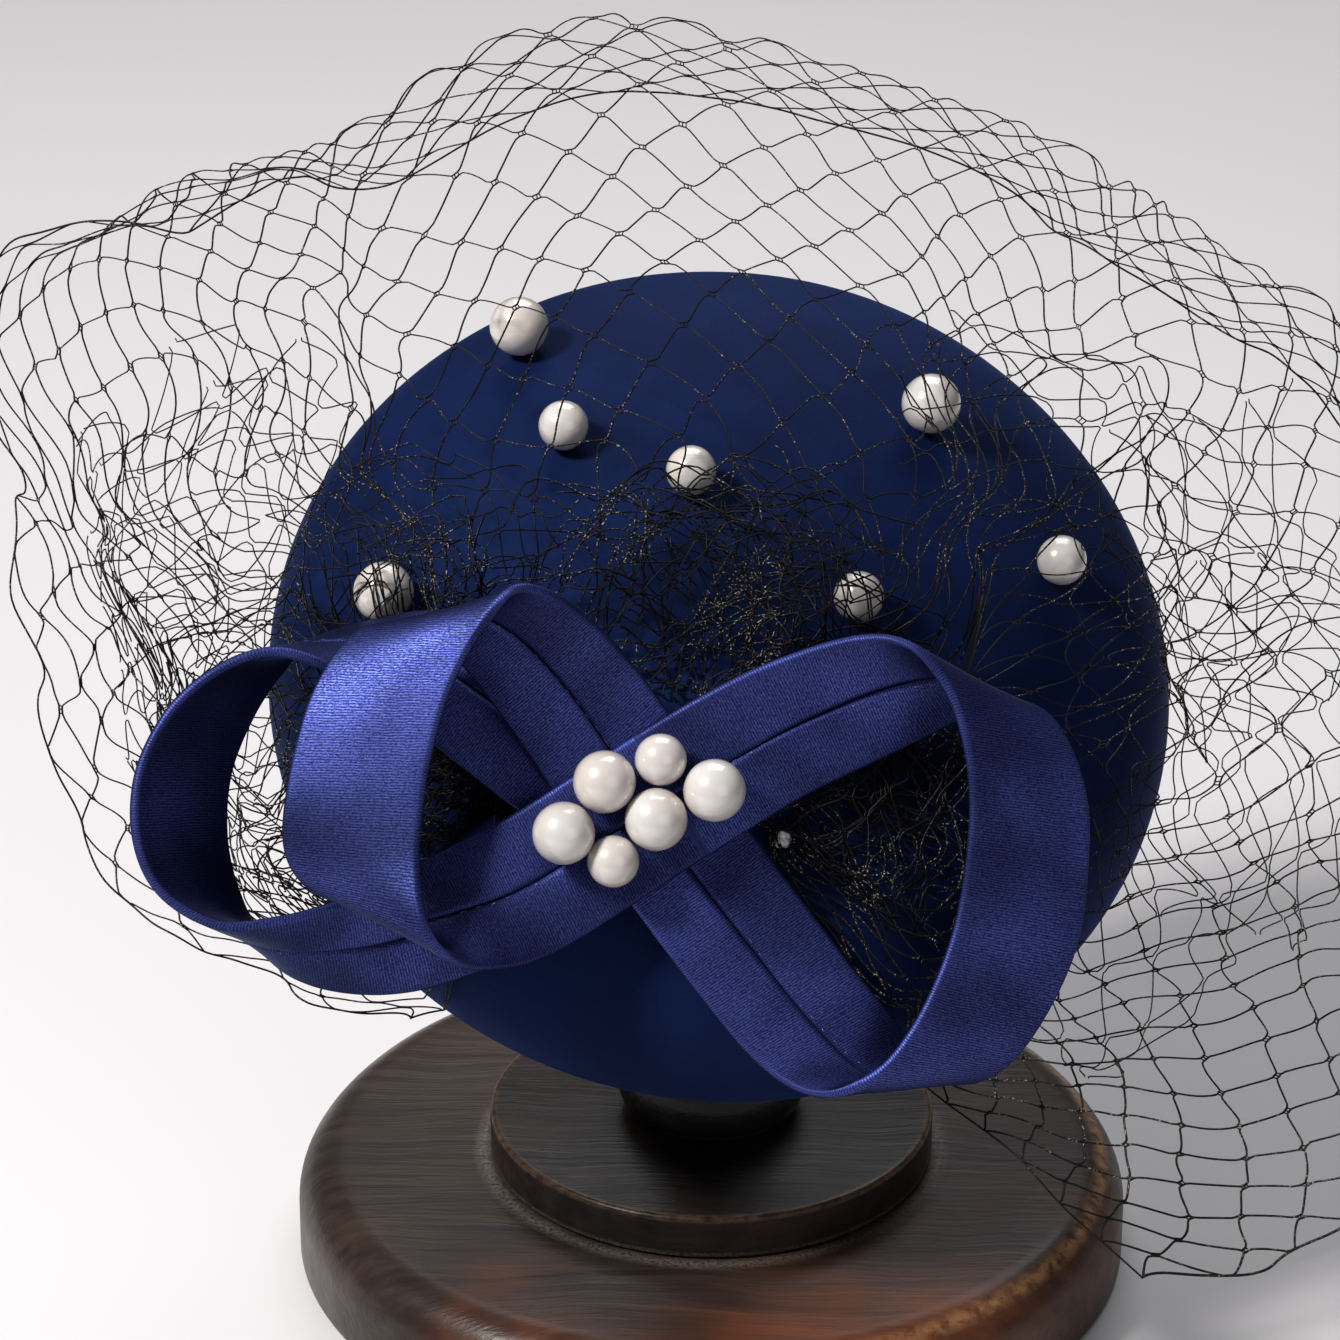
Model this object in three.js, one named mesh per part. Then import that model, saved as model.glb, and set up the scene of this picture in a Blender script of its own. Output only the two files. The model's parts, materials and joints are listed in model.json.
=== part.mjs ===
// Fascinator on its wooden display stand: a domed satin disc hat, a figure-eight ribbon bow with one
// side loop, loose pearls and a fan of coarse net. Millimetres, +Z up, front towards -Y.
// The origin is the centre of the stand's underside.
import * as THREE from 'three';

// ---------------------------------------------------------------- driving dimensions
const base = { radius: 86, height: 21.5, topRound: 10, footRound: 1.5 };
const step = { radius: 46, height: 9.4, edgeRound: 1.6 };
const post = { neck: 11, headRadius: 38, headHeight: 132.4 };
const seatGap = 0.3;

// The hat's own frame: x right, y up the slope, z out of the crown; its rim lies in z = 0.
const hat = { radius: 90, height: 44, roundness: 1.95, wall: 3, lip: 2.2 };
const hatPlace = { x: 1.5, y: 0, z: 129, tilt: 39.4, swing: 4 };

// The bow's frame touches the dome where the ribbons cross; its z stands off the satin.
const bowPlace = { x: -13, y: -46, z: 37.4, tilt: 25 };
const ribbon = { width: 26.5, thickness: 2, edge: 0.9, seam: 0.35, bowRings: 84, sideRings: 56 };

const pearl = { large: 5.9, small: 4.9, sides: 12, bands: 8 };

// The net: strut is the width left between holes, root the small ring where it is gathered, collar
// the plain part round it, flap the turned-back border.
const net = { thickness: 1.2, strut: 2.4, root: 8, collar: 36, collarRings: 3, flap: 20, columns: 34, rows: 7 };
const gather = { x: -8, y: -38, lift: 1.2 };

// How the net leaves the satin: climb is the distance taken to clear the pearls, sag how far below
// its edge height the free part starts at sagFrom, sagSpan the distance over which it straightens,
// blend the softness where it leaves the dome, waves the ruffles in a full turn.
const drape = { climb: 32, sag: 60, sagFrom: 20, sagSpan: 80, blend: 9, waveFrom: 50, waveSpan: 60, waves: 11.6 };

const comb = { width: 60, spine: 9, length: 34, thickness: 1.6, teeth: 12, toothShare: 0.5, seatY: 79.3, seatZ: 5 };

// ---------------------------------------------------------------- short tables
// Foot of the stand's post, heights over the step.
const postColumns = ['radius', 'height'];
const postRows = [
  [17.2, 0],
  [19.4, 4],
  [19.4, 9],
  [17.6, 15],
  [14, 24],
  [11, 40.5],
];

// Bow ribbon, closed figure eight. x, y, z: middle of the strip; turn: heading of the line from rim A
// to rim B about the bow's z; lean: how far that line dips (-) or rises (+) from the bow's plane.
const ribbonColumns = ['x', 'y', 'z', 'turn', 'lean'];
const bowRows = [
  [0.5, 3.3, 9, -58, 0],
  [17, 13.7, 9, -60, -10],
  [30, 20, 8.8, -63, -20],
  [40, 24, 9, -58, -30],
  [48, 26.2, 10, -44, -40],
  [55, 25.6, 11.5, -24, -41],
  [61.5, 20, 12.5, -9, -35],
  [66, 8, 12.3, -6, -27],
  [67, -6, 11, -6, -23],
  [65, -23, 9.5, -9, -22],
  [57.5, -40.5, 8, -12, -29],
  [49, -49, 6.5, -3, -36],
  [39, -48.8, 5.5, 18, -30],
  [28, -39.5, 5.6, 31, -12],
  [14, -23, 5.9, 35, -5],
  [-2.7, -1.7, 6.1, 39, 0],
  [-12.9, 12.4, 7.5, 44, 8],
  [-21, 22.5, 10.5, 43, 20],
  [-30, 31.5, 14, 41, 35],
  [-38.6, 35.6, 17.5, 29, 44],
  [-47.5, 32.5, 19.5, 3, 32],
  [-54.5, 21.5, 20.3, 0, 20],
  [-58.5, 6, 20.5, 1, 16],
  [-59.5, -9, 20.5, -2, 20],
  [-56, -18.8, 20, -13, 36],
  [-49, -22.2, 18, -36, 44],
  [-39, -20, 14.2, -60, 30],
  [-25, -14, 9.8, -62, 4],
];

// Side loop, an open strip whose two ends tuck under the crossing. Same columns.
const sideRows = [
  [-7, -1, 3.4, 50, 0],
  [-20, 9, 3, 50, -4],
  [-34, 19, 1.4, 51, -13],
  [-48, 27.4, -1.2, 50, -32],
  [-62, 29, -3, 52, -66],
  [-72.6, 27.8, -3, 16, -79],
  [-79.5, 24, -1, 1, -66],
  [-86.5, 16, 1, -1, -55],
  [-91, 5, 2.5, 1, -51],
  [-91.5, -7, 3, 3, -51],
  [-88, -17.5, 2, 0, -58],
  [-80.5, -25, 0, -24, -72],
  [-71, -28, -2, -76, -64],
  [-61, -28, -4, -80, -48],
  [-50, -25.5, -4, -76, -34],
  [-39, -20.5, -3, -70, -24],
  [-26.5, -13.5, 0.6, -62, -6],
];

// Net fan about the gather, one row for each section. angle: direction in the hat's plane; crease:
// distance to the fold; edge: height of the fold over the rim's plane; fold: how far the flap turns
// back; rise: where it starts to climb off the satin; lift: how far, to clear the pearls; ruffle:
// depth of the waves.
const fanColumns = ['angle', 'crease', 'edge', 'fold', 'rise', 'lift', 'ruffle'];
const fanRows = [
  [-46, 98, 8, 0, 30, 3, 0],
  [-38, 112, 8, 0, 30, 4, 0],
  [-28, 124, 11, 10, 30, 5, 2],
  [-18, 134, 15, 30, 35, 6, 4],
  [-5, 146, 20, 90, 45, 8, 6],
  [10, 159, 25, 140, 45, 11, 8],
  [28, 168, 28, 150, 35, 14, 8],
  [48, 160, 32, 150, 8, 15, 6],
  [70, 158, 35, 150, 12, 15, 3],
  [97, 168, 36, 150, 15, 15, 1],
  [120, 155, 36, 150, 20, 15, 5],
  [136, 159, 35, 130, 30, 16, 7],
  [147, 160, 30, 60, 40, 16, 8],
  [156, 126, 18, 0, 70, 11, 8],
  [168, 102, 9, 0, 50, 7, 6],
  [181, 88, 6, 0, 40, 4, 3],
  [204, 60, 5, 0, 40, 3, 0],
  [216, 42, 4, 0, 40, 2, 0],
];

// Pearls on the satin: x and y of the foot in the hat's frame.
const hatPearlColumns = ['name', 'x', 'y', 'size'];
const hatPearlRows = [
  ['pearl_hat_1', -40.5, 57.9, 'large'],
  ['pearl_hat_2', -32.8, 31.8, 'small'],
  ['pearl_hat_3', -9.1, 20.5, 'small'],
  ['pearl_hat_4', 37, 40, 'large'],
  ['pearl_hat_5', 61.7, 10, 'small'],
  ['pearl_hat_6', 22, -4.7, 'small'],
  ['pearl_hat_7', -65, -0.9, 'large'],
];

// Pearls of the cluster: x and y in the bow's frame, on the upper band of the ribbon, and how much
// the band has risen there.
const clusterColumns = ['name', 'x', 'y', 'size', 'rise'];
const clusterRows = [
  ['pearl_cluster_1', -20.4, -4.6, 'large', 0.6],
  ['pearl_cluster_2', -13.1, 5.1, 'large', 0.1],
  ['pearl_cluster_3', -2.7, 9.5, 'small', 0],
  ['pearl_cluster_4', 7.4, 4.1, 'large', 0],
  ['pearl_cluster_5', -3.3, -1.6, 'large', 0],
  ['pearl_cluster_6', -11, -9.6, 'small', 0.2],
];

// ---------------------------------------------------------------- materials
function finish(color, roughness, metalness = 0) {
  return new THREE.MeshStandardMaterial({ color, roughness, metalness });
}

const darkWood = finish(0x2a1a14, 0.38);
const navySatin = finish(0x17255c, 0.55);
const blueRibbon = finish(0x26328c, 0.45);
const blackNet = finish(0x0c0b0d, 0.7);
const creamPearl = finish(0xf1e8dc, 0.2);
const steel = finish(0x8d9096, 0.35, 1);

// ---------------------------------------------------------------- shared helpers
const radians = THREE.MathUtils.degToRad;

function smooth(t) {
  const s = THREE.MathUtils.clamp(t, 0, 1);
  return s * s * (3 - 2 * s);
}

function named(columns, row) {
  return Object.fromEntries(columns.map((column, k) => [column, row[k]]));
}

function solidFrom(points, triangles) {
  const geometry = new THREE.BufferGeometry();
  geometry.setAttribute('position', new THREE.Float32BufferAttribute(points.flatMap((p) => p.toArray()), 3));
  geometry.setIndex(triangles.flat());
  geometry.computeVertexNormals();
  return geometry;
}

function piece(name, geometry, material) {
  const mesh = new THREE.Mesh(geometry, material);
  mesh.name = name;
  return mesh;
}

function turned(profile, segments) {
  const points = profile.map(([r, z]) => new THREE.Vector2(r, z));
  return new THREE.LatheGeometry(points, segments).rotateX(Math.PI / 2);
}

function arcPoints(centreR, centreZ, radius, from, to, steps) {
  return Array.from({ length: steps + 1 }, (_, k) => {
    const a = radians(from + ((to - from) * k) / steps);
    return [centreR + radius * Math.cos(a), centreZ + radius * Math.sin(a)];
  });
}

// ---------------------------------------------------------------- stand
function standBase() {
  const profile = [
    [0, 0],
    [base.radius - base.footRound, 0],
    [base.radius, base.footRound],
    ...arcPoints(base.radius - base.topRound, base.height - base.topRound, base.topRound, 0, 90, 6),
    [0, base.height],
  ];
  return turned(profile, 48);
}

function standStep() {
  const bottom = base.height + seatGap;
  const top = bottom + step.height;
  const r = step.radius;
  const e = step.edgeRound;
  const profile = [
    [0, bottom],
    [r - e, bottom],
    [r, bottom + e],
    [r, top - e],
    [r - e * 0.3, top - e * 0.3],
    [r - e, top],
    [0, top],
  ];
  return turned(profile, 48);
}

// Turned post with a round bulge at its foot and a ball head inside the crown.
function standPost() {
  const bottom = base.height + step.height + 2 * seatGap;
  const headFrom = -Math.acos(post.neck / post.headRadius) * THREE.MathUtils.RAD2DEG;
  const profile = [
    [0, bottom],
    ...postRows.map((row) => named(postColumns, row)).map(({ radius, height }) => [radius, bottom + height]),
    ...arcPoints(0, post.headHeight, post.headRadius, headFrom, 90, 9),
  ];
  profile[profile.length - 1][0] = 0;
  return turned(profile, 32);
}

// ---------------------------------------------------------------- hat
function domeHeight(r, radius, height) {
  return height * Math.max(0, 1 - (r / radius) ** hat.roundness) ** (1 / hat.roundness);
}

function domeProfile(radius, height, steps) {
  return Array.from({ length: steps + 1 }, (_, k) => {
    const a = ((Math.PI / 2) * k) / steps;
    const r = radius * Math.sin(a) ** (2 / hat.roundness);
    const z = height * Math.cos(a) ** (2 / hat.roundness);
    return [k === 0 ? 0 : r, k === steps ? 0 : z];
  });
}

function hatBase() {
  const inner = domeProfile(hat.radius - hat.wall, hat.height - hat.wall, 7);
  const outer = domeProfile(hat.radius, hat.height, 10);
  const rolledEdge = [
    [hat.radius - hat.wall + 0.5, -hat.lip * 0.7],
    [hat.radius - hat.wall * 0.5, -hat.lip],
    [hat.radius - 0.4, -hat.lip * 0.7],
  ];
  return turned([...inner, ...rolledEdge, ...outer.reverse()], 44);
}

// Comb: a spine with straight teeth, flat in the hat's plane, its spine against the inner wall.
function hairComb() {
  const pitch = comb.width / comb.teeth;
  const shape = new THREE.Shape();
  shape.moveTo(-comb.width / 2, 0);
  for (let k = 0; k < comb.teeth; k += 1) {
    const left = -comb.width / 2 + k * pitch;
    shape.lineTo(left, -comb.length);
    shape.lineTo(left + pitch * comb.toothShare, -comb.length);
    shape.lineTo(left + pitch * comb.toothShare, -comb.spine);
    if (k < comb.teeth - 1) {
      shape.lineTo(left + pitch, -comb.spine);
    }
  }
  shape.lineTo(comb.width / 2 - pitch * (1 - comb.toothShare), 0);
  return new THREE.ExtrudeGeometry(shape, { depth: comb.thickness, bevelEnabled: false });
}

// ---------------------------------------------------------------- ribbons
// A strip carried along a table: smooth middle line, smooth line across, flat oval section with a
// shallow seam down its inner face.
function ribbonSolid(rows, closed, steps) {
  const middles = [];
  const acrosses = [];
  for (const row of rows) {
    const { x, y, z, turn, lean } = named(ribbonColumns, row);
    const flat = Math.cos(radians(lean));
    middles.push(new THREE.Vector3(x, y, z));
    acrosses.push(
      new THREE.Vector3(flat * Math.cos(radians(turn)), flat * Math.sin(radians(turn)), Math.sin(radians(lean))),
    );
  }
  const middleLine = new THREE.CatmullRomCurve3(middles, closed, 'catmullrom', 0.5);
  const acrossLine = new THREE.CatmullRomCurve3(acrosses, closed, 'catmullrom', 0.5);
  const w = ribbon.width / 2;
  const t = ribbon.thickness / 2;
  const section = [
    [-w, 0], [-w + ribbon.edge, t], [0, t], [w - ribbon.edge, t],
    [w, 0], [w - ribbon.edge, -t], [0, -t + ribbon.seam], [-w + ribbon.edge, -t],
  ];
  const points = [];
  const rings = closed ? steps : steps + 1;
  for (let k = 0; k < rings; k += 1) {
    const at = k / steps;
    const middle = middleLine.getPoint(at);
    const across = acrossLine.getPoint(at).normalize();
    const along = middleLine.getTangent(at);
    const out = new THREE.Vector3().crossVectors(along, across).normalize();
    for (const [u, v] of section) {
      points.push(middle.clone().addScaledVector(across, u).addScaledVector(out, v));
    }
  }
  const n = section.length;
  const triangles = [];
  for (let k = 0; k < steps; k += 1) {
    const here = k * n;
    const next = ((k + 1) % rings) * n;
    for (let i = 0; i < n; i += 1) {
      const j = (i + 1) % n;
      triangles.push([here + i, next + i, next + j], [here + i, next + j, here + j]);
    }
  }
  if (!closed) {
    const last = steps * n;
    for (let i = 1; i < n - 1; i += 1) {
      triangles.push([0, i, i + 1], [last, last + i + 1, last + i]);
    }
  }
  return solidFrom(points, triangles);
}

// ---------------------------------------------------------------- net
function fanSection(angle) {
  let k = 0;
  while (k < fanRows.length - 2 && angle > fanRows[k + 1][0]) {
    k += 1;
  }
  const t = smooth((angle - fanRows[k][0]) / (fanRows[k + 1][0] - fanRows[k][0]));
  return Object.fromEntries(
    fanColumns.map((column, c) => [column, THREE.MathUtils.lerp(fanRows[k][c], fanRows[k + 1][c], t)]),
  );
}

// Point of the net's middle surface: angle in degrees about the gather, d the distance along the net.
function netPoint(angle, d) {
  const s = fanSection(angle);
  const flap = Math.max(0, d - s.crease);
  const r = Math.min(d, s.crease) + flap * Math.cos(radians(s.fold));
  const x = gather.x + r * Math.cos(radians(angle));
  const y = gather.y + r * Math.sin(radians(angle));
  const lift = THREE.MathUtils.lerp(gather.lift, s.lift, smooth((d - s.rise) / drape.climb));
  const over = domeHeight(Math.hypot(x, y), hat.radius + lift, hat.height + lift);
  const free = s.edge - drape.sag * (1 - smooth((d - drape.sagFrom) / drape.sagSpan));
  const blended = (over + free + Math.hypot(over - free, drape.blend)) / 2;
  const growth = smooth((d - drape.waveFrom) / drape.waveSpan);
  const wave = s.ruffle * growth * (0.5 + 0.5 * Math.sin(radians(angle * drape.waves)));
  return new THREE.Vector3(x, y, blended + wave + flap * Math.sin(radians(s.fold)));
}

function netNormal(angle, d) {
  const h = 0.4;
  const du = netPoint(angle + h, d).sub(netPoint(angle - h, d));
  const dv = netPoint(angle, d + h).sub(netPoint(angle, d - h));
  return du.cross(dv).normalize().multiplyScalar(-1);
}

// Diamond net: lattice points (i, j) with i + j even, a hole in every diamond and every outer
// triangle, and a solid gathered collar from the root out to the first row.
function netSolid() {
  const first = fanRows[0][0];
  const span = fanRows[fanRows.length - 1][0] - first;
  const middle = [];
  const normals = [];
  const addPoint = (angle, d) => {
    middle.push(netPoint(angle, d));
    normals.push(netNormal(angle, d));
    return middle.length - 1;
  };
  const place = (i, j) => {
    const angle = first + (span * i) / net.columns;
    const crease = fanSection(angle).crease;
    const out = j < net.rows ? (crease - net.collar) * (j / (net.rows - 1)) : crease - net.collar + net.flap;
    return [angle, net.collar + out];
  };
  const lattice = new Map();
  for (let j = 0; j <= net.rows; j += 1) {
    for (let i = j % 2; i <= net.columns; i += 2) {
      lattice.set(`${i},${j}`, addPoint(...place(i, j)));
    }
  }
  const faces = [];
  const addHole = (corners) => {
    const count = corners.length;
    const inset = corners.map((id, k) => {
      const here = middle[id];
      const toNext = middle[corners[(k + 1) % count]].clone().sub(here).normalize();
      const toLast = middle[corners[(k + count - 1) % count]].clone().sub(here).normalize();
      const reach = net.strut / 2 / Math.max(0.12, Math.sin(toNext.angleTo(toLast)));
      middle.push(here.clone().addScaledVector(toNext, reach).addScaledVector(toLast, reach));
      normals.push(normals[id].clone());
      return middle.length - 1;
    });
    for (let k = 0; k < count; k += 1) {
      const next = (k + 1) % count;
      faces.push([corners[k], corners[next], inset[next]], [corners[k], inset[next], inset[k]]);
    }
  };
  for (let j = 0; j <= net.rows; j += 1) {
    for (let i = 1 - (j % 2); i <= net.columns; i += 2) {
      const around = [[i - 1, j], [i, j + 1], [i + 1, j], [i, j - 1]];
      const corners = around.map(([a, b]) => lattice.get(`${a},${b}`)).filter((id) => id !== undefined);
      if (corners.length === 4 || (corners.length === 3 && j === net.rows)) {
        addHole(corners);
      } else if (corners.length === 3) {
        faces.push(corners);
      }
    }
  }
  let inner = [];
  for (let ring = 0; ring <= net.collarRings; ring += 1) {
    const d = THREE.MathUtils.lerp(net.root, net.collar, ring / net.collarRings);
    const row = [];
    for (let i = 0; i <= net.columns; i += 2) {
      row.push(ring === net.collarRings ? lattice.get(`${i},0`) : addPoint(place(i, 0)[0], d));
    }
    for (let k = 0; ring > 0 && k < row.length - 1; k += 1) {
      faces.push([inner[k], row[k + 1], inner[k + 1]], [inner[k], row[k], row[k + 1]]);
    }
    inner = row;
  }
  return thickened(middle, normals, faces, net.thickness);
}

// Gives a sheet of triangles its thickness and closes it with a wall along every open edge.
function thickened(middle, normals, faces, thickness) {
  const count = middle.length;
  const upper = middle.map((p, k) => p.clone().addScaledVector(normals[k], thickness / 2));
  const lower = middle.map((p, k) => p.clone().addScaledVector(normals[k], -thickness / 2));
  const edges = new Set(faces.flatMap(([a, b, c]) => [`${a},${b}`, `${b},${c}`, `${c},${a}`]));
  const triangles = [];
  for (const [a, b, c] of faces) {
    triangles.push([a, b, c], [a + count, c + count, b + count]);
    for (const [from, to] of [[a, b], [b, c], [c, a]]) {
      if (!edges.has(`${to},${from}`)) {
        triangles.push([from, from + count, to + count], [from, to + count, to]);
      }
    }
  }
  return solidFrom([...upper, ...lower], triangles);
}

// ---------------------------------------------------------------- assembly
function pearlBall(radius) {
  return new THREE.SphereGeometry(radius, pearl.sides, pearl.bands);
}

function domeNormal(x, y) {
  const h = 0.2;
  const at = (a, b) => domeHeight(Math.hypot(a, b), hat.radius, hat.height);
  const slopeX = (at(x + h, y) - at(x - h, y)) / (2 * h);
  const slopeY = (at(x, y + h) - at(x, y - h)) / (2 * h);
  return new THREE.Vector3(-slopeX, -slopeY, 1).normalize();
}

const fascinator = new THREE.Group();
fascinator.add(piece('stand_base', standBase(), darkWood));
fascinator.add(piece('stand_step', standStep(), darkWood));
fascinator.add(piece('stand_post', standPost(), darkWood));

const hatGroup = new THREE.Group();
hatGroup.position.set(hatPlace.x, hatPlace.y, hatPlace.z);
hatGroup.rotation.set(radians(hatPlace.tilt), radians(hatPlace.swing), 0);
fascinator.add(hatGroup);
hatGroup.add(piece('hat_base', hatBase(), navySatin));

const combPiece = piece('hair_comb', hairComb(), steel);
combPiece.position.set(0, comb.seatY, comb.seatZ);
hatGroup.add(combPiece);

for (const row of hatPearlRows) {
  const { name, x, y, size } = named(hatPearlColumns, row);
  const ball = piece(name, pearlBall(pearl[size]), creamPearl);
  const foot = new THREE.Vector3(x, y, domeHeight(Math.hypot(x, y), hat.radius, hat.height));
  ball.position.copy(foot.addScaledVector(domeNormal(x, y), pearl[size] + seatGap));
  hatGroup.add(ball);
}

hatGroup.add(piece('veil_net', netSolid(), blackNet));

const bowGroup = new THREE.Group();
bowGroup.position.set(bowPlace.x, bowPlace.y, bowPlace.z);
bowGroup.rotation.x = radians(bowPlace.tilt);
hatGroup.add(bowGroup);
bowGroup.add(piece('bow_ribbon', ribbonSolid(bowRows, true, ribbon.bowRings), blueRibbon));
bowGroup.add(piece('side_loop', ribbonSolid(sideRows, false, ribbon.sideRings), blueRibbon));

for (const row of clusterRows) {
  const { name, x, y, size, rise } = named(clusterColumns, row);
  const ball = piece(name, pearlBall(pearl[size]), creamPearl);
  ball.position.set(x, y, bowRows[0][2] + rise + ribbon.thickness / 2 + pearl[size] + seatGap);
  bowGroup.add(ball);
}

export default fascinator;
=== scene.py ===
import bpy
import json
import math
import numpy as np
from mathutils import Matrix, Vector

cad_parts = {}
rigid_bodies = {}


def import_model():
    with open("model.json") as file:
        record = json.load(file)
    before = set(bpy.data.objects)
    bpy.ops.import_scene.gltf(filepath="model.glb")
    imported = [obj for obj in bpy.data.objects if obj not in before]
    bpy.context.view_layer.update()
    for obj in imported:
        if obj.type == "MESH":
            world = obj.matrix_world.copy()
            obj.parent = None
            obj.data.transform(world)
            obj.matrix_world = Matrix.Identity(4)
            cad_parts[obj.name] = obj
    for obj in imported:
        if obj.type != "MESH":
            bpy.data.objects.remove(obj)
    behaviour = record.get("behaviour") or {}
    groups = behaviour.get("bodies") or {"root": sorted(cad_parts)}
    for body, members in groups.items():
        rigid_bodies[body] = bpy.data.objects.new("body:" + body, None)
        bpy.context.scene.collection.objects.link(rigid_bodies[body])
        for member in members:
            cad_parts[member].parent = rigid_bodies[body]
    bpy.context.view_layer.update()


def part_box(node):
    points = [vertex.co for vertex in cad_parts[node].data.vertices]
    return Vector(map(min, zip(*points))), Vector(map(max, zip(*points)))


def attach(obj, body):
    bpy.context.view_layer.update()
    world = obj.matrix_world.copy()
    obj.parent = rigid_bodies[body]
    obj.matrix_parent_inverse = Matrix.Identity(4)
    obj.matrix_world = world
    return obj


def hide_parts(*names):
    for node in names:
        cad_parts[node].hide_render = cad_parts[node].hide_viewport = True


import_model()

# Fascinator on its stand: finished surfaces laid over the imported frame. Metres, +Z up, front -Y.
mm = 0.001


# eased step: 3 t^2 - 2 t^3 from 0 to 1, level at both ends
def smooth(t):
    s = np.clip(t, 0.0, 1.0)
    return s * s * (3.0 - 2.0 * s)


def unit(vectors):
    return vectors / np.maximum(np.linalg.norm(vectors, axis=-1, keepdims=True), 1e-12)


# a piece from vertices and faces, smooth shaded, riding on the one body in place of a node
def makePiece(name, node, points, faces, material, uv=None):
    mesh = bpy.data.meshes.new(name)
    mesh.from_pydata(np.asarray(points, dtype=float).tolist(), [], [list(f) for f in faces])
    if uv is not None:
        layer = mesh.uv_layers.new(name="cloth")
        loops = np.empty(len(mesh.loops), dtype=np.int32)
        mesh.loops.foreach_get("vertex_index", loops)
        layer.data.foreach_set("uv", np.asarray(uv)[loops].astype(np.float32).ravel())
    mesh.polygons.foreach_set("use_smooth", np.ones(len(mesh.polygons), dtype=bool))
    mesh.materials.append(material)
    mesh.update()
    piece = bpy.data.objects.new(name, mesh)
    bpy.context.collection.objects.link(piece)
    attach(piece, "root")
    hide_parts(node)
    return piece


# quads of a grid of rows by columns, either way wrapped round or not
def gridFaces(rows, columns, wrapRows=False, wrapColumns=False):
    r = np.arange(rows if wrapRows else rows - 1)
    c = np.arange(columns if wrapColumns else columns - 1)
    r, c = np.meshgrid(r, c, indexing="ij")
    nextRow, nextColumn = (r + 1) % rows, (c + 1) % columns
    quads = [r * columns + c, r * columns + nextColumn, nextRow * columns + nextColumn, nextRow * columns + c]
    return np.stack(quads, axis=-1).reshape(-1, 4)


# turned form: a profile of (radius, height) from pole to pole, carried round the z axis, closed at both poles
def turned(profile, segments):
    profile = np.asarray(profile, dtype=float)
    a = np.linspace(0, 2 * np.pi, segments, endpoint=False)
    rings = profile[1:-1]
    around = np.stack([rings[:, None, 0] * np.cos(a), rings[:, None, 0] * np.sin(a),
                       np.repeat(rings[:, 1:2], segments, axis=1)], axis=-1).reshape(-1, 3)
    points = np.vstack([around, [[0, 0, profile[0, 1]], [0, 0, profile[-1, 1]]]])
    k = np.arange(segments)
    n = (k + 1) % segments
    firstPole, lastPole = len(points) - 2, len(points) - 1
    lastRing = (len(rings) - 1) * segments
    faces = gridFaces(len(rings), segments, wrapColumns=True).tolist()
    faces += np.stack([np.full(segments, firstPole), n, k], axis=-1).tolist()
    faces += np.stack([np.full(segments, lastPole), lastRing + k, lastRing + n], axis=-1).tolist()
    return points, faces


# points of a circle round a centre, from one angle to another in degrees
def arc(centre, radius, first, last, steps):
    a = np.radians(np.linspace(first, last, steps))
    return np.stack([centre[0] + radius * np.cos(a), centre[1] + radius * np.sin(a)], axis=-1)


# a polyline with its corners rounded: each corner becomes a quadratic curve that starts and ends at the
# given distance from it, or at most at nearly half of the side
def rounded(corners, radius, steps=5, mostOfSide=0.45):
    corners = np.asarray(corners, dtype=float)
    out = [corners[0]]
    t = np.linspace(0, 1, steps)[:, None]
    for before, here, after in zip(corners[:-2], corners[1:-1], corners[2:]):
        reachA = min(radius, np.linalg.norm(before - here) * mostOfSide)
        reachB = min(radius, np.linalg.norm(after - here) * mostOfSide)
        p = here + unit(before - here) * reachA
        q = here + unit(after - here) * reachB
        out.extend((1 - t) ** 2 * p + 2 * t * (1 - t) * here + t ** 2 * q)
    out.append(corners[-1])
    return np.array(out)


# sum of a few slow sine waves in chance directions, one value for each point, between about -1 and 1
slowWaves = {"count": 5, "shortest": 0.7, "longest": 1.5, "divisor": 2.6}


def drift(points, wavelength, seed):
    r = np.random.default_rng(seed)
    total = np.zeros(points.shape[:-1])
    for _ in range(slowWaves["count"]):
        direction = r.normal(size=3)
        stretched = wavelength * r.uniform(slowWaves["shortest"], slowWaves["longest"])
        direction *= 2 * np.pi / stretched / np.linalg.norm(direction)
        total += np.sin(points @ direction + r.uniform(0, 2 * np.pi))
    return total / slowWaves["divisor"]


# tubes round many lines at once: lines is (count, steps, 3), radius one value or one for each step. Every
# ring is squared up to one slanting direction, which few lines follow
slant = np.array([0.12, 0.2, 1.0])


def tubes(lines, radius, sides):
    count, steps = lines.shape[:2]
    along = unit(np.gradient(lines, axis=1))
    side = unit(np.cross(along, slant))
    up = np.cross(side, along)
    a = np.linspace(0, 2 * np.pi, sides, endpoint=False)[:, None]
    ring = side[:, :, None, :] * np.cos(a) + up[:, :, None, :] * np.sin(a)
    radius = np.broadcast_to(radius, (count, steps))[..., None, None]
    points = (lines[:, :, None, :] + ring * radius).reshape(-1, 3)
    starts = (np.arange(count) * steps * sides)[:, None]
    walls = gridFaces(steps, sides, wrapColumns=True)[:, ::-1]
    walls = (walls[None] + starts[..., None]).reshape(-1, 4)
    k = np.arange(sides)
    ends = np.vstack([starts + k, starts + (steps - 1) * sides + k[::-1]])
    return points, walls.tolist() + ends.tolist()


# the hat's frame has its rim in z = 0 and z out of the crown; the bow's frame stands on the dome
hat = {"radius": 90 * mm, "height": 44 * mm, "roundness": 1.95, "wall": 3 * mm,
       "origin": (1.5 * mm, 0, 129 * mm), "tilt": 39.4, "swing": 4}
bow = {"origin": (-13 * mm, -46 * mm, 37.4 * mm), "tilt": 25}


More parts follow.
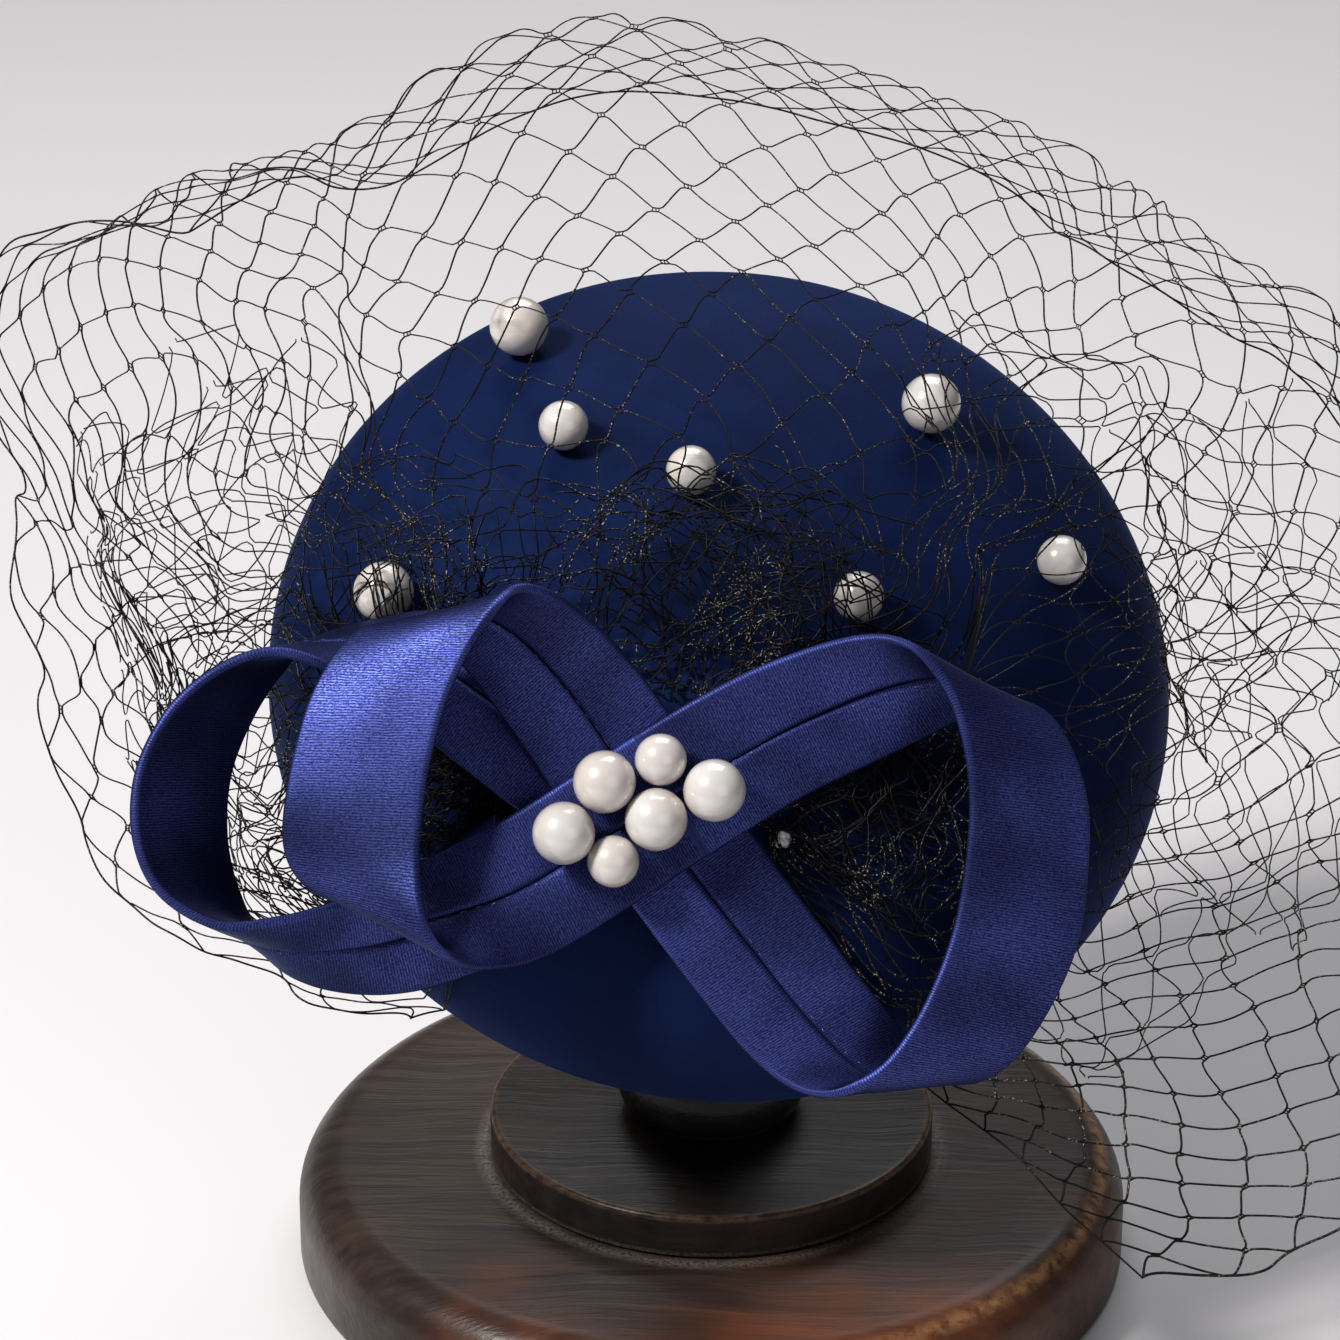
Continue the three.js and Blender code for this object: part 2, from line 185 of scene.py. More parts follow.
def turnMatrix(axis, degrees):
    a = math.radians(degrees)
    c, s = math.cos(a), math.sin(a)
    if axis == "x":
        return np.array([[1, 0, 0], [0, c, -s], [0, s, c]])
    return np.array([[c, 0, s], [0, 1, 0], [-s, 0, c]])


hatTurn = turnMatrix("x", hat["tilt"]) @ turnMatrix("y", hat["swing"])
bowTurn = turnMatrix("x", bow["tilt"])


def fromHat(points):
    return points @ hatTurn.T + np.array(hat["origin"])


def bowToHat(points):
    return points @ bowTurn.T + np.array(bow["origin"])


# dome: height falls from the crown to the rim along a slightly flattened ellipse
def domeHeight(r, radius, height):
    inside = np.clip(1 - (np.abs(r) / radius) ** hat["roundness"], 0, None)
    return height * inside ** (1 / hat["roundness"])


# a shader node; each input is a socket to link or a value to set
def addNode(tree, kind, inputs=None, **settings):
    made = tree.nodes.new(kind)
    for key, value in settings.items():
        setattr(made, key, value)
    for key, value in (inputs or {}).items():
        if isinstance(value, bpy.types.NodeSocket):
            tree.links.new(value, made.inputs[key])
        else:
            made.inputs[key].default_value = value
    return made


def calc(tree, operation, a, b=0.0, c=0.0, clamp=False):
    made = addNode(tree, "ShaderNodeMath", {0: a, 1: b, 2: c}, operation=operation, use_clamp=clamp)
    return made.outputs[0]


def times(tree, a, b, clamp=False):
    return calc(tree, "MULTIPLY", a, b, clamp=clamp)


def plus(tree, a, b, clamp=False):
    return calc(tree, "ADD", a, b, clamp=clamp)


# eased step of a value between two ends, laid onto another two
def spread(tree, value, ends, onto=(0.0, 1.0)):
    made = addNode(tree, "ShaderNodeMapRange", {"Value": value, "From Min": ends[0], "From Max": ends[1],
                                                "To Min": onto[0], "To Max": onto[1]},
                   interpolation_type="SMOOTHSTEP")
    return made.outputs["Result"]


def mixColour(tree, factor, a, b, blend="MIX"):
    made = addNode(tree, "ShaderNodeMix", {0: factor, 6: a, 7: b}, data_type="RGBA", blend_type=blend)
    return made.outputs[2]


def dimmed(tree, colour, value):
    grey = addNode(tree, "ShaderNodeCombineColor", {0: value, 1: value, 2: value}).outputs[0]
    return mixColour(tree, 1.0, colour, grey, "MULTIPLY")


# settings of a finish whose names end in Noise hold (scale, detail, roughness, stretch)
def noise(tree, vector, scale, detail=3.0, rough=0.55, stretch=(1, 1, 1)):
    placed = addNode(tree, "ShaderNodeMapping", {"Vector": vector, "Scale": stretch})
    made = addNode(tree, "ShaderNodeTexNoise", {"Vector": placed.outputs[0], "Scale": scale,
                                                "Detail": detail, "Roughness": rough})
    return made.outputs["Fac"]


# a node group: an input's default is None for a vector, a tuple for a colour or a number for a value, and
# fill(tree, inputs) returns a socket for each output
def nodeGroup(name, inputs, outputs, fill):
    tree = bpy.data.node_groups.new(name, "ShaderNodeTree")
    for label, value in inputs.items():
        kind = "Vector" if value is None else "Color" if isinstance(value, tuple) else "Float"
        socket = tree.interface.new_socket(name=label, in_out="INPUT", socket_type="NodeSocket" + kind)
        if value is not None:
            socket.default_value = value
    for label, kind in outputs.items():
        tree.interface.new_socket(name=label, in_out="OUTPUT", socket_type="NodeSocket" + kind)
    enter = tree.nodes.new("NodeGroupInput")
    leave = tree.nodes.new("NodeGroupOutput")
    for label, socket in fill(tree, enter.outputs).items():
        tree.links.new(socket, leave.inputs[label])
    return tree


def placeGroup(tree, group, inputs):
    return addNode(tree, "ShaderNodeGroup", inputs, node_tree=group).outputs


finishOutputs = {"Color": "Color", "Roughness": "Float", "Height": "Float"}

# satin: fine ribs across the strip broken into short glossy dashes, a grain of bright specks painted in as
# glints, and slow patches of painted sheen. rib = half + half sin(2 pi y / pitch + wander)
satinCloth = {"ribPitch": 0.00052, "wander": 9.0, "grainShare": 0.62, "paintedGlintShare": 0.5,
              "litAt": (0.24, 0.60), "paintedGlintAt": (0.62, 0.74), "sheenAt": (0.32, 0.68), "glossAt": (0.2, 0.65),
              "wanderNoise": (260.0, 2.0), "dashNoise": (1.0, 1.0, 0.5, (900, 2100, 900)),
              "grainNoise": (2700.0, 2.0, 0.7), "sheenNoise": (38.0, 2.0)}


def fillSatin(tree, given):
    spot = given["Vector"]
    along = addNode(tree, "ShaderNodeSeparateXYZ", {0: spot}).outputs[1]
    wander = times(tree, noise(tree, spot, *satinCloth["wanderNoise"]), satinCloth["wander"])
    turns = calc(tree, "MULTIPLY_ADD", along, 2 * math.pi / satinCloth["ribPitch"], wander)
    rib = calc(tree, "MULTIPLY_ADD", calc(tree, "SINE", turns), 0.5, 0.5)
    dashes = times(tree, rib, noise(tree, spot, *satinCloth["dashNoise"]))
    grain = noise(tree, spot, *satinCloth["grainNoise"])
    weave = plus(tree, times(tree, dashes, given["Ribs"]), times(tree, grain, satinCloth["grainShare"]))
    lit = times(tree, spread(tree, weave, satinCloth["litAt"]), given["Weave"])
    # painted glints: the brightest specks of the grain pull the colour towards the light thread colour
    paintedGlints = times(tree, spread(tree, grain, satinCloth["paintedGlintAt"]), satinCloth["paintedGlintShare"])
    colour = mixColour(tree, plus(tree, lit, paintedGlints, clamp=True), given["Base"], given["Thread"])
    # painted sheen: slow patches darken or lighten the colour by the given sheen amount
    sheen = spread(tree, noise(tree, spot, *satinCloth["sheenNoise"]), satinCloth["sheenAt"],
                   (calc(tree, "SUBTRACT", 1.0, given["PaintedSheen"]), plus(tree, 1.0, given["PaintedSheen"])))
    return {"Color": dimmed(tree, colour, sheen),
            "Roughness": spread(tree, weave, satinCloth["glossAt"], (given["Rough"], given["Gloss"])),
            "Height": weave}


satinGroup = nodeGroup("satinWeave", {"Vector": None, "Base": (0.02, 0.03, 0.2, 1),
                                      "Thread": (0.1, 0.12, 0.5, 1), "Weave": 0.5, "Rough": 0.6,
                                      "Gloss": 0.45, "Ribs": 0.3, "PaintedSheen": 0.2},
                       finishOutputs, fillSatin)

# stained wood: long grain with darker pores, and clouds where the stain thinned to a warm brown
stainedWood = {"bend": 0.02, "grainShare": 0.55, "slowShare": 0.45, "poreDepth": 0.6, "scuffRough": 0.12,
               "shadeAt": (0.34, 0.68), "cloudAt": (0.55, 0.95), "warmGrainAt": (0.3, 0.7),
               "warmGrain": (0.5, 1.0), "poreAt": (0.62, 0.72), "poreShade": (0.0, 0.7),
               "scuffAt": (0.6, 0.75), "glossAt": (0.35, 0.7), "gloss": (0.30, 0.46),
               "bendNoise": (14.0, 2.0), "grainNoise": (1.0, 5.0, 0.6, (22, 300, 240)),
               "poreNoise": (1.0, 3.0, 0.7, (60, 950, 800)), "cloudNoise": (17.0, 3.0),
               "slowNoise": (1.0, 2.0, 0.5, (9, 34, 30)), "scuffNoise": (1.0, 4.0, 0.7, (90, 420, 300)),
               "glossNoise": (32.0, 3.0)}


def fillWood(tree, given):
    spot, wood = given["Vector"], stainedWood
    bend = times(tree, noise(tree, spot, *wood["bendNoise"]), wood["bend"])
    shift = addNode(tree, "ShaderNodeCombineXYZ", {"Y": bend}).outputs[0]
    bent = addNode(tree, "ShaderNodeVectorMath", {0: spot, 1: shift}, operation="ADD").outputs[0]
    grain, pores, slow = (noise(tree, bent, *wood[name]) for name in ("grainNoise", "poreNoise", "slowNoise"))
    shade = plus(tree, times(tree, grain, wood["grainShare"]), times(tree, slow, wood["slowShare"]))
    stain = mixColour(tree, spread(tree, shade, wood["shadeAt"]), given["Dark"], given["Mid"])
    # the painted warm glow of the front side raises the warm clouds here
    cloud = plus(tree, noise(tree, spot, *wood["cloudNoise"]), given["PaintedGlow"])
    warmth = times(tree, spread(tree, cloud, wood["cloudAt"]),
                   spread(tree, grain, wood["warmGrainAt"], wood["warmGrain"]))
    stain = mixColour(tree, warmth, stain, given["Warm"])
    stain = mixColour(tree, spread(tree, pores, wood["poreAt"], wood["poreShade"]), stain, given["Dark"])
    scuff = spread(tree, noise(tree, spot, *wood["scuffNoise"]), wood["scuffAt"])
    gloss = spread(tree, noise(tree, spot, *wood["glossNoise"]), wood["glossAt"], wood["gloss"])
    return {"Color": stain, "Roughness": plus(tree, gloss, times(tree, scuff, wood["scuffRough"])),
            "Height": calc(tree, "SUBTRACT", grain, times(tree, pores, wood["poreDepth"]))}


woodGroup = nodeGroup("stainedWood", {"Vector": None, "Dark": (0.01, 0.007, 0.006, 1),
                                      "Mid": (0.05, 0.03, 0.02, 1), "Warm": (0.2, 0.06, 0.02, 1),
                                      "PaintedGlow": 0.0},
                      finishOutputs, fillWood)

# a broken mask near one radius and height of a turned piece: 1 on the line, fading over Spread
ringPatches = {"detail": 5.0, "rough": 0.65, "at": (0.34, 0.62)}


def fillRing(tree, given):
    x, y, z = addNode(tree, "ShaderNodeSeparateXYZ", {0: given["Vector"]}).outputs
    radius = calc(tree, "SQRT", plus(tree, times(tree, x, x), times(tree, y, y)))
    off = calc(tree, "SUBTRACT", radius, given["Radius"])
    rise = calc(tree, "SUBTRACT", z, given["Height"])
    away = calc(tree, "SQRT", plus(tree, times(tree, off, off), times(tree, rise, rise)))
    near = calc(tree, "SUBTRACT", 1.0, calc(tree, "DIVIDE", away, given["Spread"]), clamp=True)
    cloud = noise(tree, given["Vector"], given["Grain"], ringPatches["detail"], ringPatches["rough"])
    return {"Mask": times(tree, near, spread(tree, cloud, ringPatches["at"]), clamp=True)}


ringGroup = nodeGroup("ringMask", {"Vector": None, "Radius": 0.08, "Height": 0.02, "Spread": 0.004,
                                   "Grain": 300.0}, {"Mask": "Float"}, fillRing)

# black twisted thread: mostly dark, with small painted glints where the twist would catch the light
twistedThread = {"twistNoise": (2300.0, 1.0), "areaNoise": (60.0, 2.0), "glintAt": (0.6, 0.68),
                 "areaAt": (0.42, 0.58), "roughAt": (0.3, 0.7), "rough": (0.55, 0.34)}


def fillThread(tree, given):
    twist = noise(tree, given["Vector"], *twistedThread["twistNoise"])
    area = noise(tree, given["Vector"], *twistedThread["areaNoise"])
    glint = times(tree, spread(tree, twist, twistedThread["glintAt"]),
                  spread(tree, area, twistedThread["areaAt"]))
    glint = times(tree, glint, given["Glint"], clamp=True)
    return {"Color": mixColour(tree, glint, given["Base"], given["Shine"]),
            "Roughness": spread(tree, twist, twistedThread["roughAt"], twistedThread["rough"]),
            "Height": twist}


threadGroup = nodeGroup("twistedThread", {"Vector": None, "Base": (0.01, 0.01, 0.01, 1),
                                          "Shine": (0.6, 0.5, 0.4, 1), "Glint": 0.6},
                        finishOutputs, fillThread)

# pearl coat: cream with slow rosy clouds
pearlSkin = {"cloudNoise": (75.0, 1.0), "fineNoise": (1400.0, 2.0), "cloudAt": (0.35, 0.65),
             "roughAt": (0.3, 0.7), "rough": (0.20, 0.26)}


def fillPearl(tree, given):
    cloud = spread(tree, noise(tree, given["Vector"], *pearlSkin["cloudNoise"]), pearlSkin["cloudAt"])
    fine = noise(tree, given["Vector"], *pearlSkin["fineNoise"])
    return {"Color": mixColour(tree, cloud, given["Cream"], given["Rose"]),
            "Roughness": spread(tree, fine, pearlSkin["roughAt"], pearlSkin["rough"]), "Height": fine}


pearlGroup = nodeGroup("pearlCoat", {"Vector": None, "Cream": (0.55, 0.53, 0.51, 1),
                                     "Rose": (0.53, 0.485, 0.445, 1)}, finishOutputs, fillPearl)


# a material round one Principled shader; constants go on its own sockets
def newMaterial(name, constants):
    material = bpy.data.materials.new(name)
    material.use_nodes = True
    tree = material.node_tree
    shader = tree.nodes["Principled BSDF"]
    for label, value in constants.items():
        shader.inputs[label].default_value = value
    return material, tree, shader


def spotOf(tree, kind="Object"):
    return addNode(tree, "ShaderNodeTexCoord").outputs[kind]


# how far a face turns from the view, eased between two ends and laid onto another two; it paints light and
# shade into colour
def paintedByView(tree, look):
    turnedAway = addNode(tree, "ShaderNodeLayerWeight", {"Blend": look["blend"]}).outputs["Facing"]
    return spread(tree, turnedAway, look["at"], look["onto"])


def dress(tree, shader, colour, finish, depth):
    tree.links.new(colour, shader.inputs["Base Color"])
    tree.links.new(finish["Roughness"], shader.inputs["Roughness"])
    bump = addNode(tree, "ShaderNodeBump", {"Height": finish["Height"], "Distance": depth, "Strength": 1.0})
    tree.links.new(bump.outputs[0], shader.inputs["Normal"])


def satinMaterial(name, look, coordinates):
    material, tree, shader = newMaterial(name, look["shader"])
    finish = placeGroup(tree, satinGroup, {"Vector": spotOf(tree, coordinates), **look["group"]})
    # painted light: the colour is scaled by how far the face turns from the view
    dress(tree, shader, dimmed(tree, finish["Color"], paintedByView(tree, look["paintedByView"])), finish, look["bump"])
    return material


# ribbon: painted shade darkens the faces turned from the view and a painted highlight lifts those facing it
ribbonLook = {"group": {"Base": (0.0040, 0.0060, 0.044, 1), "Thread": (0.046, 0.059, 0.205, 1), "Weave": 0.9,
                        "Rough": 0.60, "Gloss": 0.40, "Ribs": 0.34, "PaintedSheen": 0.42},
              "shader": {"Metallic": 0.72, "Specular IOR Level": 0.3, "Specular Tint": (0.5, 0.6, 1.0, 1),
                         "Sheen Weight": 0.04, "Sheen Roughness": 0.35, "Sheen Tint": (0.35, 0.42, 1.0, 1)},
              "paintedByView": {"blend": 0.5, "at": (0.25, 0.85), "onto": (1.3, 0.26)}, "bump": 0.00004}
# hat: a painted sheen brightens the dome's edges where they turn from the view
hatLook = {"group": {"Base": (0.0032, 0.0078, 0.038, 1), "Thread": (0.0072, 0.0155, 0.062, 1), "Weave": 0.4,
                     "Rough": 0.66, "Gloss": 0.52, "Ribs": 0.0, "PaintedSheen": 0.15},
           "shader": {"Metallic": 0.3, "Specular IOR Level": 0.10, "Specular Tint": (0.3, 0.5, 1.0, 1),
                      "Sheen Weight": 0.05, "Sheen Roughness": 0.4, "Sheen Tint": (0.15, 0.3, 0.8, 1)},
           "paintedByView": {"blend": 0.5, "at": (0.25, 0.85), "onto": (1.0, 1.25)}, "bump": 0.00003}
ribbonSatin = satinMaterial("ribbonSatin", ribbonLook, "UV")
hatSatin = satinMaterial("hatSatin", hatLook, "Object")

threadLook = {"black": (0.0035, 0.0032, 0.0036, 1), "blue": (0.05, 0.065, 0.25, 1),
              "shine": (0.74, 0.67, 0.57, 1), "netGlint": 0.3, "tangleGlint": 0.42, "stitchGlint": 0.9,
              "specular": 0.12, "bump": 0.00006}


def threadMaterial(name, base, glint):
    material, tree, shader = newMaterial(name, {"Specular IOR Level": threadLook["specular"]})
    finish = placeGroup(tree, threadGroup, {"Vector": spotOf(tree), "Base": base, "Glint": glint,
                                            "Shine": threadLook["shine"]})
    dress(tree, shader, finish["Color"], finish, threadLook["bump"])
    return material


netThread = threadMaterial("netThread", threadLook["black"], threadLook["netGlint"])
stitchThread = threadMaterial("stitchThread", threadLook["blue"], threadLook["stitchGlint"])
tangleThread = threadMaterial("tangleThread", threadLook["black"], threadLook["tangleGlint"])

# rim: colour of the painted shade at the pearl's edge
pearlLook = {"shader": {"Coat Weight": 1.0, "Coat Roughness": 0.045, "Specular IOR Level": 0.9,
                        "Sheen Weight": 0.1, "Sheen Tint": (1.0, 0.86, 0.8, 1)},
             "paintedByView": {"blend": 0.35, "at": (0.3, 0.95), "onto": (0.0, 0.6)},
             "rim": (0.30, 0.245, 0.20, 1), "bump": 0.000002}


# painted shade: the pearl's colour darkens to a warm grey towards its rim, where it turns from the view
def pearlMaterial():
    material, tree, shader = newMaterial("pearlCoat", pearlLook["shader"])
    finish = placeGroup(tree, pearlGroup, {"Vector": spotOf(tree)})
    colour = mixColour(tree, paintedByView(tree, pearlLook["paintedByView"]), finish["Color"], pearlLook["rim"])
    dress(tree, shader, colour, finish, pearlLook["bump"])
    return material


pearlCoat = pearlMaterial()

woodCoat = {"Coat Weight": 0.08, "Coat Roughness": 0.2, "Specular IOR Level": 0.18}
paintedGlowSpan = (-0.03, -0.088)  # painted warm glow: the colour grows warmer towards the front between these two places along y


# wood of one turned piece; each of its lines is a rubbed or dusty ring, stronger towards +X by its side value
def woodMaterial(name, look):
    material, tree, shader = newMaterial(name, woodCoat)
    spot = spotOf(tree)
    x, y, _ = addNode(tree, "ShaderNodeSeparateXYZ", {0: spot}).outputs
    # painted warm glow: the front side's colour grows warmer towards -y
    warmth = spread(tree, y, paintedGlowSpan, (0.0, look["paintedFrontGlow"]))
    finish = placeGroup(tree, woodGroup, {"Vector": spot, "Dark": look["dark"], "Mid": look["mid"],
                                          "Warm": look["warm"], "PaintedGlow": warmth})
    colour = finish["Color"]
    for line in look["lines"]:
        ring = placeGroup(tree, ringGroup, {"Vector": spot, "Radius": line["radius"],
                                            "Height": line["height"], "Spread": line["spread"],
                                            "Grain": line["grain"]})
        strength = calc(tree, "MAXIMUM", plus(tree, times(tree, x, line["side"]), line["strength"]), 0.0)
        colour = mixColour(tree, times(tree, ring["Mask"], strength, clamp=True), colour, line["colour"])
    dress(tree, shader, colour, finish, look["bump"])
    return material


print("camera and light")
camera = {"place": (-0.0086, -0.9057, 0.5529), "down": 25, "lens": 134.6, "sensor": 36}
cameraData = bpy.data.cameras.new("camera")
cameraData.lens = camera["lens"]
cameraData.sensor_width = camera["sensor"]
cameraObject = bpy.data.objects.new("camera", cameraData)
cameraObject.location = camera["place"]
cameraObject.rotation_euler = (math.radians(90 - camera["down"]), 0, 0)
bpy.context.collection.objects.link(cameraObject)
bpy.context.scene.camera = cameraObject
bpy.context.scene.view_settings.view_transform = "Standard"

lamps = {
    "key": {"at": (-0.90, -0.55, 1.22), "size": 0.28, "power": 36, "colour": (1.0, 0.98, 0.96)},
    "top": {"at": (0.1, 0.75, 1.2), "size": 0.9, "power": 10, "colour": (0.97, 0.98, 1.0)},
    "fill": {"at": (0.62, -1.0, 0.55), "size": 0.8, "power": 1.8, "colour": (0.95, 0.97, 1.0)},
}
lampsLookAt = np.array([0, -0.02, 0.12])
for name, lamp in lamps.items():
    light = bpy.data.lights.new(name, "AREA")
    light.shape = "RECTANGLE"
    light.size = light.size_y = lamp["size"]
    light.energy = lamp["power"]
    light.color = lamp["colour"]
    lampObject = bpy.data.objects.new(name, light)
    lampObject.location = lamp["at"]
    aim = Vector(lampsLookAt - np.array(lamp["at"]))
    lampObject.rotation_euler = aim.to_track_quat("-Z", "Y").to_euler()
    bpy.context.collection.objects.link(lampObject)

room = {"air": (0.74, 0.72, 0.75, 1), "strength": 0.13, "floor": (0.60, 0.585, 0.595, 1), "rough": 0.85,
        "reach": 3.0}
world = bpy.data.worlds.new("paleRoom")
world.use_nodes = True
world.node_tree.nodes["Background"].inputs["Color"].default_value = room["air"]
world.node_tree.nodes["Background"].inputs["Strength"].default_value = room["strength"]
bpy.context.scene.world = world

floorMaterial = newMaterial("paleFloor", {"Base Color": room["floor"], "Roughness": room["rough"]})[0]
floorMesh = bpy.data.meshes.new("floor")
floorCorners = [(x * room["reach"], y * room["reach"], 0) for x, y in ((-1, -1), (1, -1), (1, 1), (-1, 1))]
floorMesh.from_pydata(floorCorners, [], [(0, 1, 2, 3)])
floorMesh.materials.append(floorMaterial)
floorObject = bpy.data.objects.new("floor", floorMesh)
bpy.context.collection.objects.link(floorObject)

print("stand")
copper = (0.30, 0.155, 0.07, 1)
dustGrey = (0.30, 0.27, 0.25, 1)
# each look's front glow is a painted warm glow on the side facing -y
standLook = {
    "standBase": {"dark": (0.013, 0.009, 0.008, 1), "mid": (0.040, 0.026, 0.020, 1),
                  "warm": (0.14, 0.038, 0.011, 1), "paintedFrontGlow": 0.30, "bump": 0.00018,
                  "lines": [{"radius": 0.0815, "height": 0.0203, "spread": 0.0026, "grain": 300,
                             "side": 11.0, "strength": 0.25, "colour": copper},
                            {"radius": 0.0475, "height": 0.0215, "spread": 0.0024, "grain": 1300,
                             "side": 0.0, "strength": 0.32, "colour": dustGrey}]},
    "standStep": {"dark": (0.008, 0.0065, 0.0065, 1), "mid": (0.026, 0.018, 0.015, 1),
                  "warm": (0.07, 0.03, 0.018, 1), "paintedFrontGlow": 0.12, "bump": 0.00015,
                  "lines": [{"radius": 0.0452, "height": 0.0306, "spread": 0.0012, "grain": 420,
                             "side": 3.0, "strength": 0.4, "colour": copper},
                            {"radius": 0.0460, "height": 0.0222, "spread": 0.0012, "grain": 1500,
                             "side": 0.0, "strength": 0.4, "colour": dustGrey}]},
    "standPost": {"dark": (0.006, 0.0055, 0.006, 1), "mid": (0.016, 0.012, 0.011, 1),
                  "warm": (0.05, 0.02, 0.012, 1), "paintedFrontGlow": 0.0, "bump": 0.0002,
                  "lines": [{"radius": 0.0185, "height": 0.0318, "spread": 0.0018, "grain": 1100,
                             "side": 0.0, "strength": 0.4, "colour": dustGrey}]},
}


# small lathe and hand-sanding unevenness of a turned piece, sideways only
def sanded(points, size):
    away = np.array(points)
    radius = np.hypot(away[:, 0], away[:, 1])
    wobble = drift(away, size["wobble"], size["seed"]) * size["uneven"]
    offAxis = np.maximum(radius, 1e-6)
    away[:, :2] *= (1 + np.where(radius > 1e-6, wobble / offAxis, 0))[:, None]
    return away


def standPiece(name, node, points, faces):
    makePiece(name, node, points, faces, woodMaterial(name + "Wood", standLook[name]))


stepLow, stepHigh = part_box("stand_step")
stepRadius = stepHigh[0]

# base: a flat underside with a small round, an upright wall and a large round; extra rings keep faces even
baseSize = {"round": 10 * mm, "footRound": 1.5 * mm, "footSide": 6 * mm, "roundSteps": 14, "segments": 160,
            "uneven": 0.12 * mm, "wobble": 0.05, "seed": 3}
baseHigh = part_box("stand_base")[1]
baseRadius, baseTop = baseHigh[0], baseHigh[2]
topRings = (baseRadius * 0.75, stepRadius * 1.1, stepRadius, baseRadius * 0.25, 0)
baseProfile = np.vstack([
    [[0, 0], [baseRadius * 0.5, 0]],
    rounded([[baseRadius - baseSize["footSide"], 0], [baseRadius, 0], [baseRadius, baseSize["footSide"]]],
            baseSize["footRound"]),
    arc((baseRadius - baseSize["round"], baseTop - baseSize["round"]), baseSize["round"], 0, 90,
        baseSize["roundSteps"]),
    [[radius, baseTop] for radius in topRings],
])
points, faces = turned(baseProfile, baseSize["segments"])
standPiece("standBase", "stand_base", sanded(points, baseSize), faces)

stepSize = {"round": 1.3 * mm, "roundSteps": 7, "segments": 128, "uneven": 0.1 * mm, "wobble": 0.05,
            "seed": 4}
stepCorners = [[0, stepLow[2]], [stepRadius, stepLow[2]], [stepRadius, stepHigh[2]], [0, stepHigh[2]]]
points, faces = turned(rounded(stepCorners, stepSize["round"], stepSize["roundSteps"]), stepSize["segments"])
standPiece("standStep", "stand_step", sanded(points, stepSize), faces)

# post: foot with a round bulge, a drawn-in neck, then the ball head; rows are (radius, height over the step)
postSize = {"rows": [(17.2, 0), (19.4, 4), (19.4, 9), (17.6, 15), (14, 24), (11, 40.5)], "neck": 11 * mm,
            "neckTop": 60 * mm, "round": 4 * mm, "roundSteps": 6, "headRadius": 38 * mm,
            "headHeight": 132.4 * mm, "headSteps": 26, "segments": 96}
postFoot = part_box("stand_post")[0][2]
footCorners = [[0, postFoot], *[(radius * mm, postFoot + height * mm) for radius, height in postSize["rows"]],
               [postSize["neck"], postFoot + postSize["neckTop"]]]
neckAngle = -math.degrees(math.acos(postSize["neck"] / postSize["headRadius"]))
ball = arc((0, postSize["headHeight"]), postSize["headRadius"], neckAngle, 90, postSize["headSteps"])
ball[-1, 0] = 0
postProfile = np.vstack([rounded(footCorners, postSize["round"], postSize["roundSteps"])[:-1], ball])
points, faces = turned(postProfile, postSize["segments"])
standPiece("standPost", "stand_post", points, faces)

print("hat")
hatSize = {"innerRings": 24, "outerRings": 46, "segments": 180, "lipSink": 0.66 * mm, "lipSteps": 9,
           "dent": 0.35 * mm, "dentWave": 0.07, "dentSeed": 7, "levelBelow": 2 * mm, "levelOver": 10 * mm}


# the dome's profile from the crown to the rim, at even angles of its flattened ellipse
def domeProfile(radius, height, steps):
    a = np.linspace(0, np.pi / 2, steps)
    power = 2 / hat["roundness"]
    return np.stack([radius * np.sin(a) ** power, height * np.clip(np.cos(a), 0, 1) ** power], axis=-1)


inner = domeProfile(hat["radius"] - hat["wall"], hat["height"] - hat["wall"], hatSize["innerRings"])
outer = domeProfile(hat["radius"], hat["height"], hatSize["outerRings"])[::-1]
lip = arc((hat["radius"] - hat["wall"] / 2, -hatSize["lipSink"]), hat["wall"] / 2, 180, 360,
          hatSize["lipSteps"])
points, faces = turned(np.vstack([inner, lip, outer]), hatSize["segments"])
# soft unevenness of the stretched cloth outside, fading to nothing at the rim; the inner wall stays plain
between = domeHeight(np.hypot(points[:, 0], points[:, 1]), hat["radius"] - hat["wall"] / 2,
                     hat["height"] - hat["wall"] / 2)
upper = smooth((points[:, 2] - hatSize["levelBelow"]) / hatSize["levelOver"]) * (points[:, 2] > between)
points[:, 2] += drift(points, hatSize["dentWave"], hatSize["dentSeed"]) * hatSize["dent"] * upper
makePiece("hatShell", "hat_base", fromHat(points), faces, hatSatin)

combLook = {"dark": (0.42, 0.43, 0.46, 1), "bright": (0.68, 0.69, 0.72, 1), "roughAt": (0.3, 0.7),
            "rough": (0.42, 0.26), "brushNoise": (1.0, 3.0, 0.6, (2400, 160, 160))}
combSteel, combTree, combShader = newMaterial("combSteel", {"Metallic": 1.0})
combBrush = noise(combTree, spotOf(combTree), *combLook["brushNoise"])
combTree.links.new(mixColour(combTree, combBrush, combLook["dark"], combLook["bright"]),
                   combShader.inputs["Base Color"])
combTree.links.new(spread(combTree, combBrush, combLook["roughAt"], combLook["rough"]),
                   combShader.inputs["Roughness"])
comb = next(o for o in bpy.data.objects if o.type == "MESH" and o.name.startswith("hair_comb"))
comb.data.materials.clear()
comb.data.materials.append(combSteel)

print("pearls")
pearlSize = {"rings": 19, "segments": 36, "onHat": 7, "inCluster": 6}


# middle and radius of a round node
def ballOf(node):
    low, high = (np.array(corner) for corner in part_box(node))
    return (low + high) / 2, float((high - low).max()) / 2


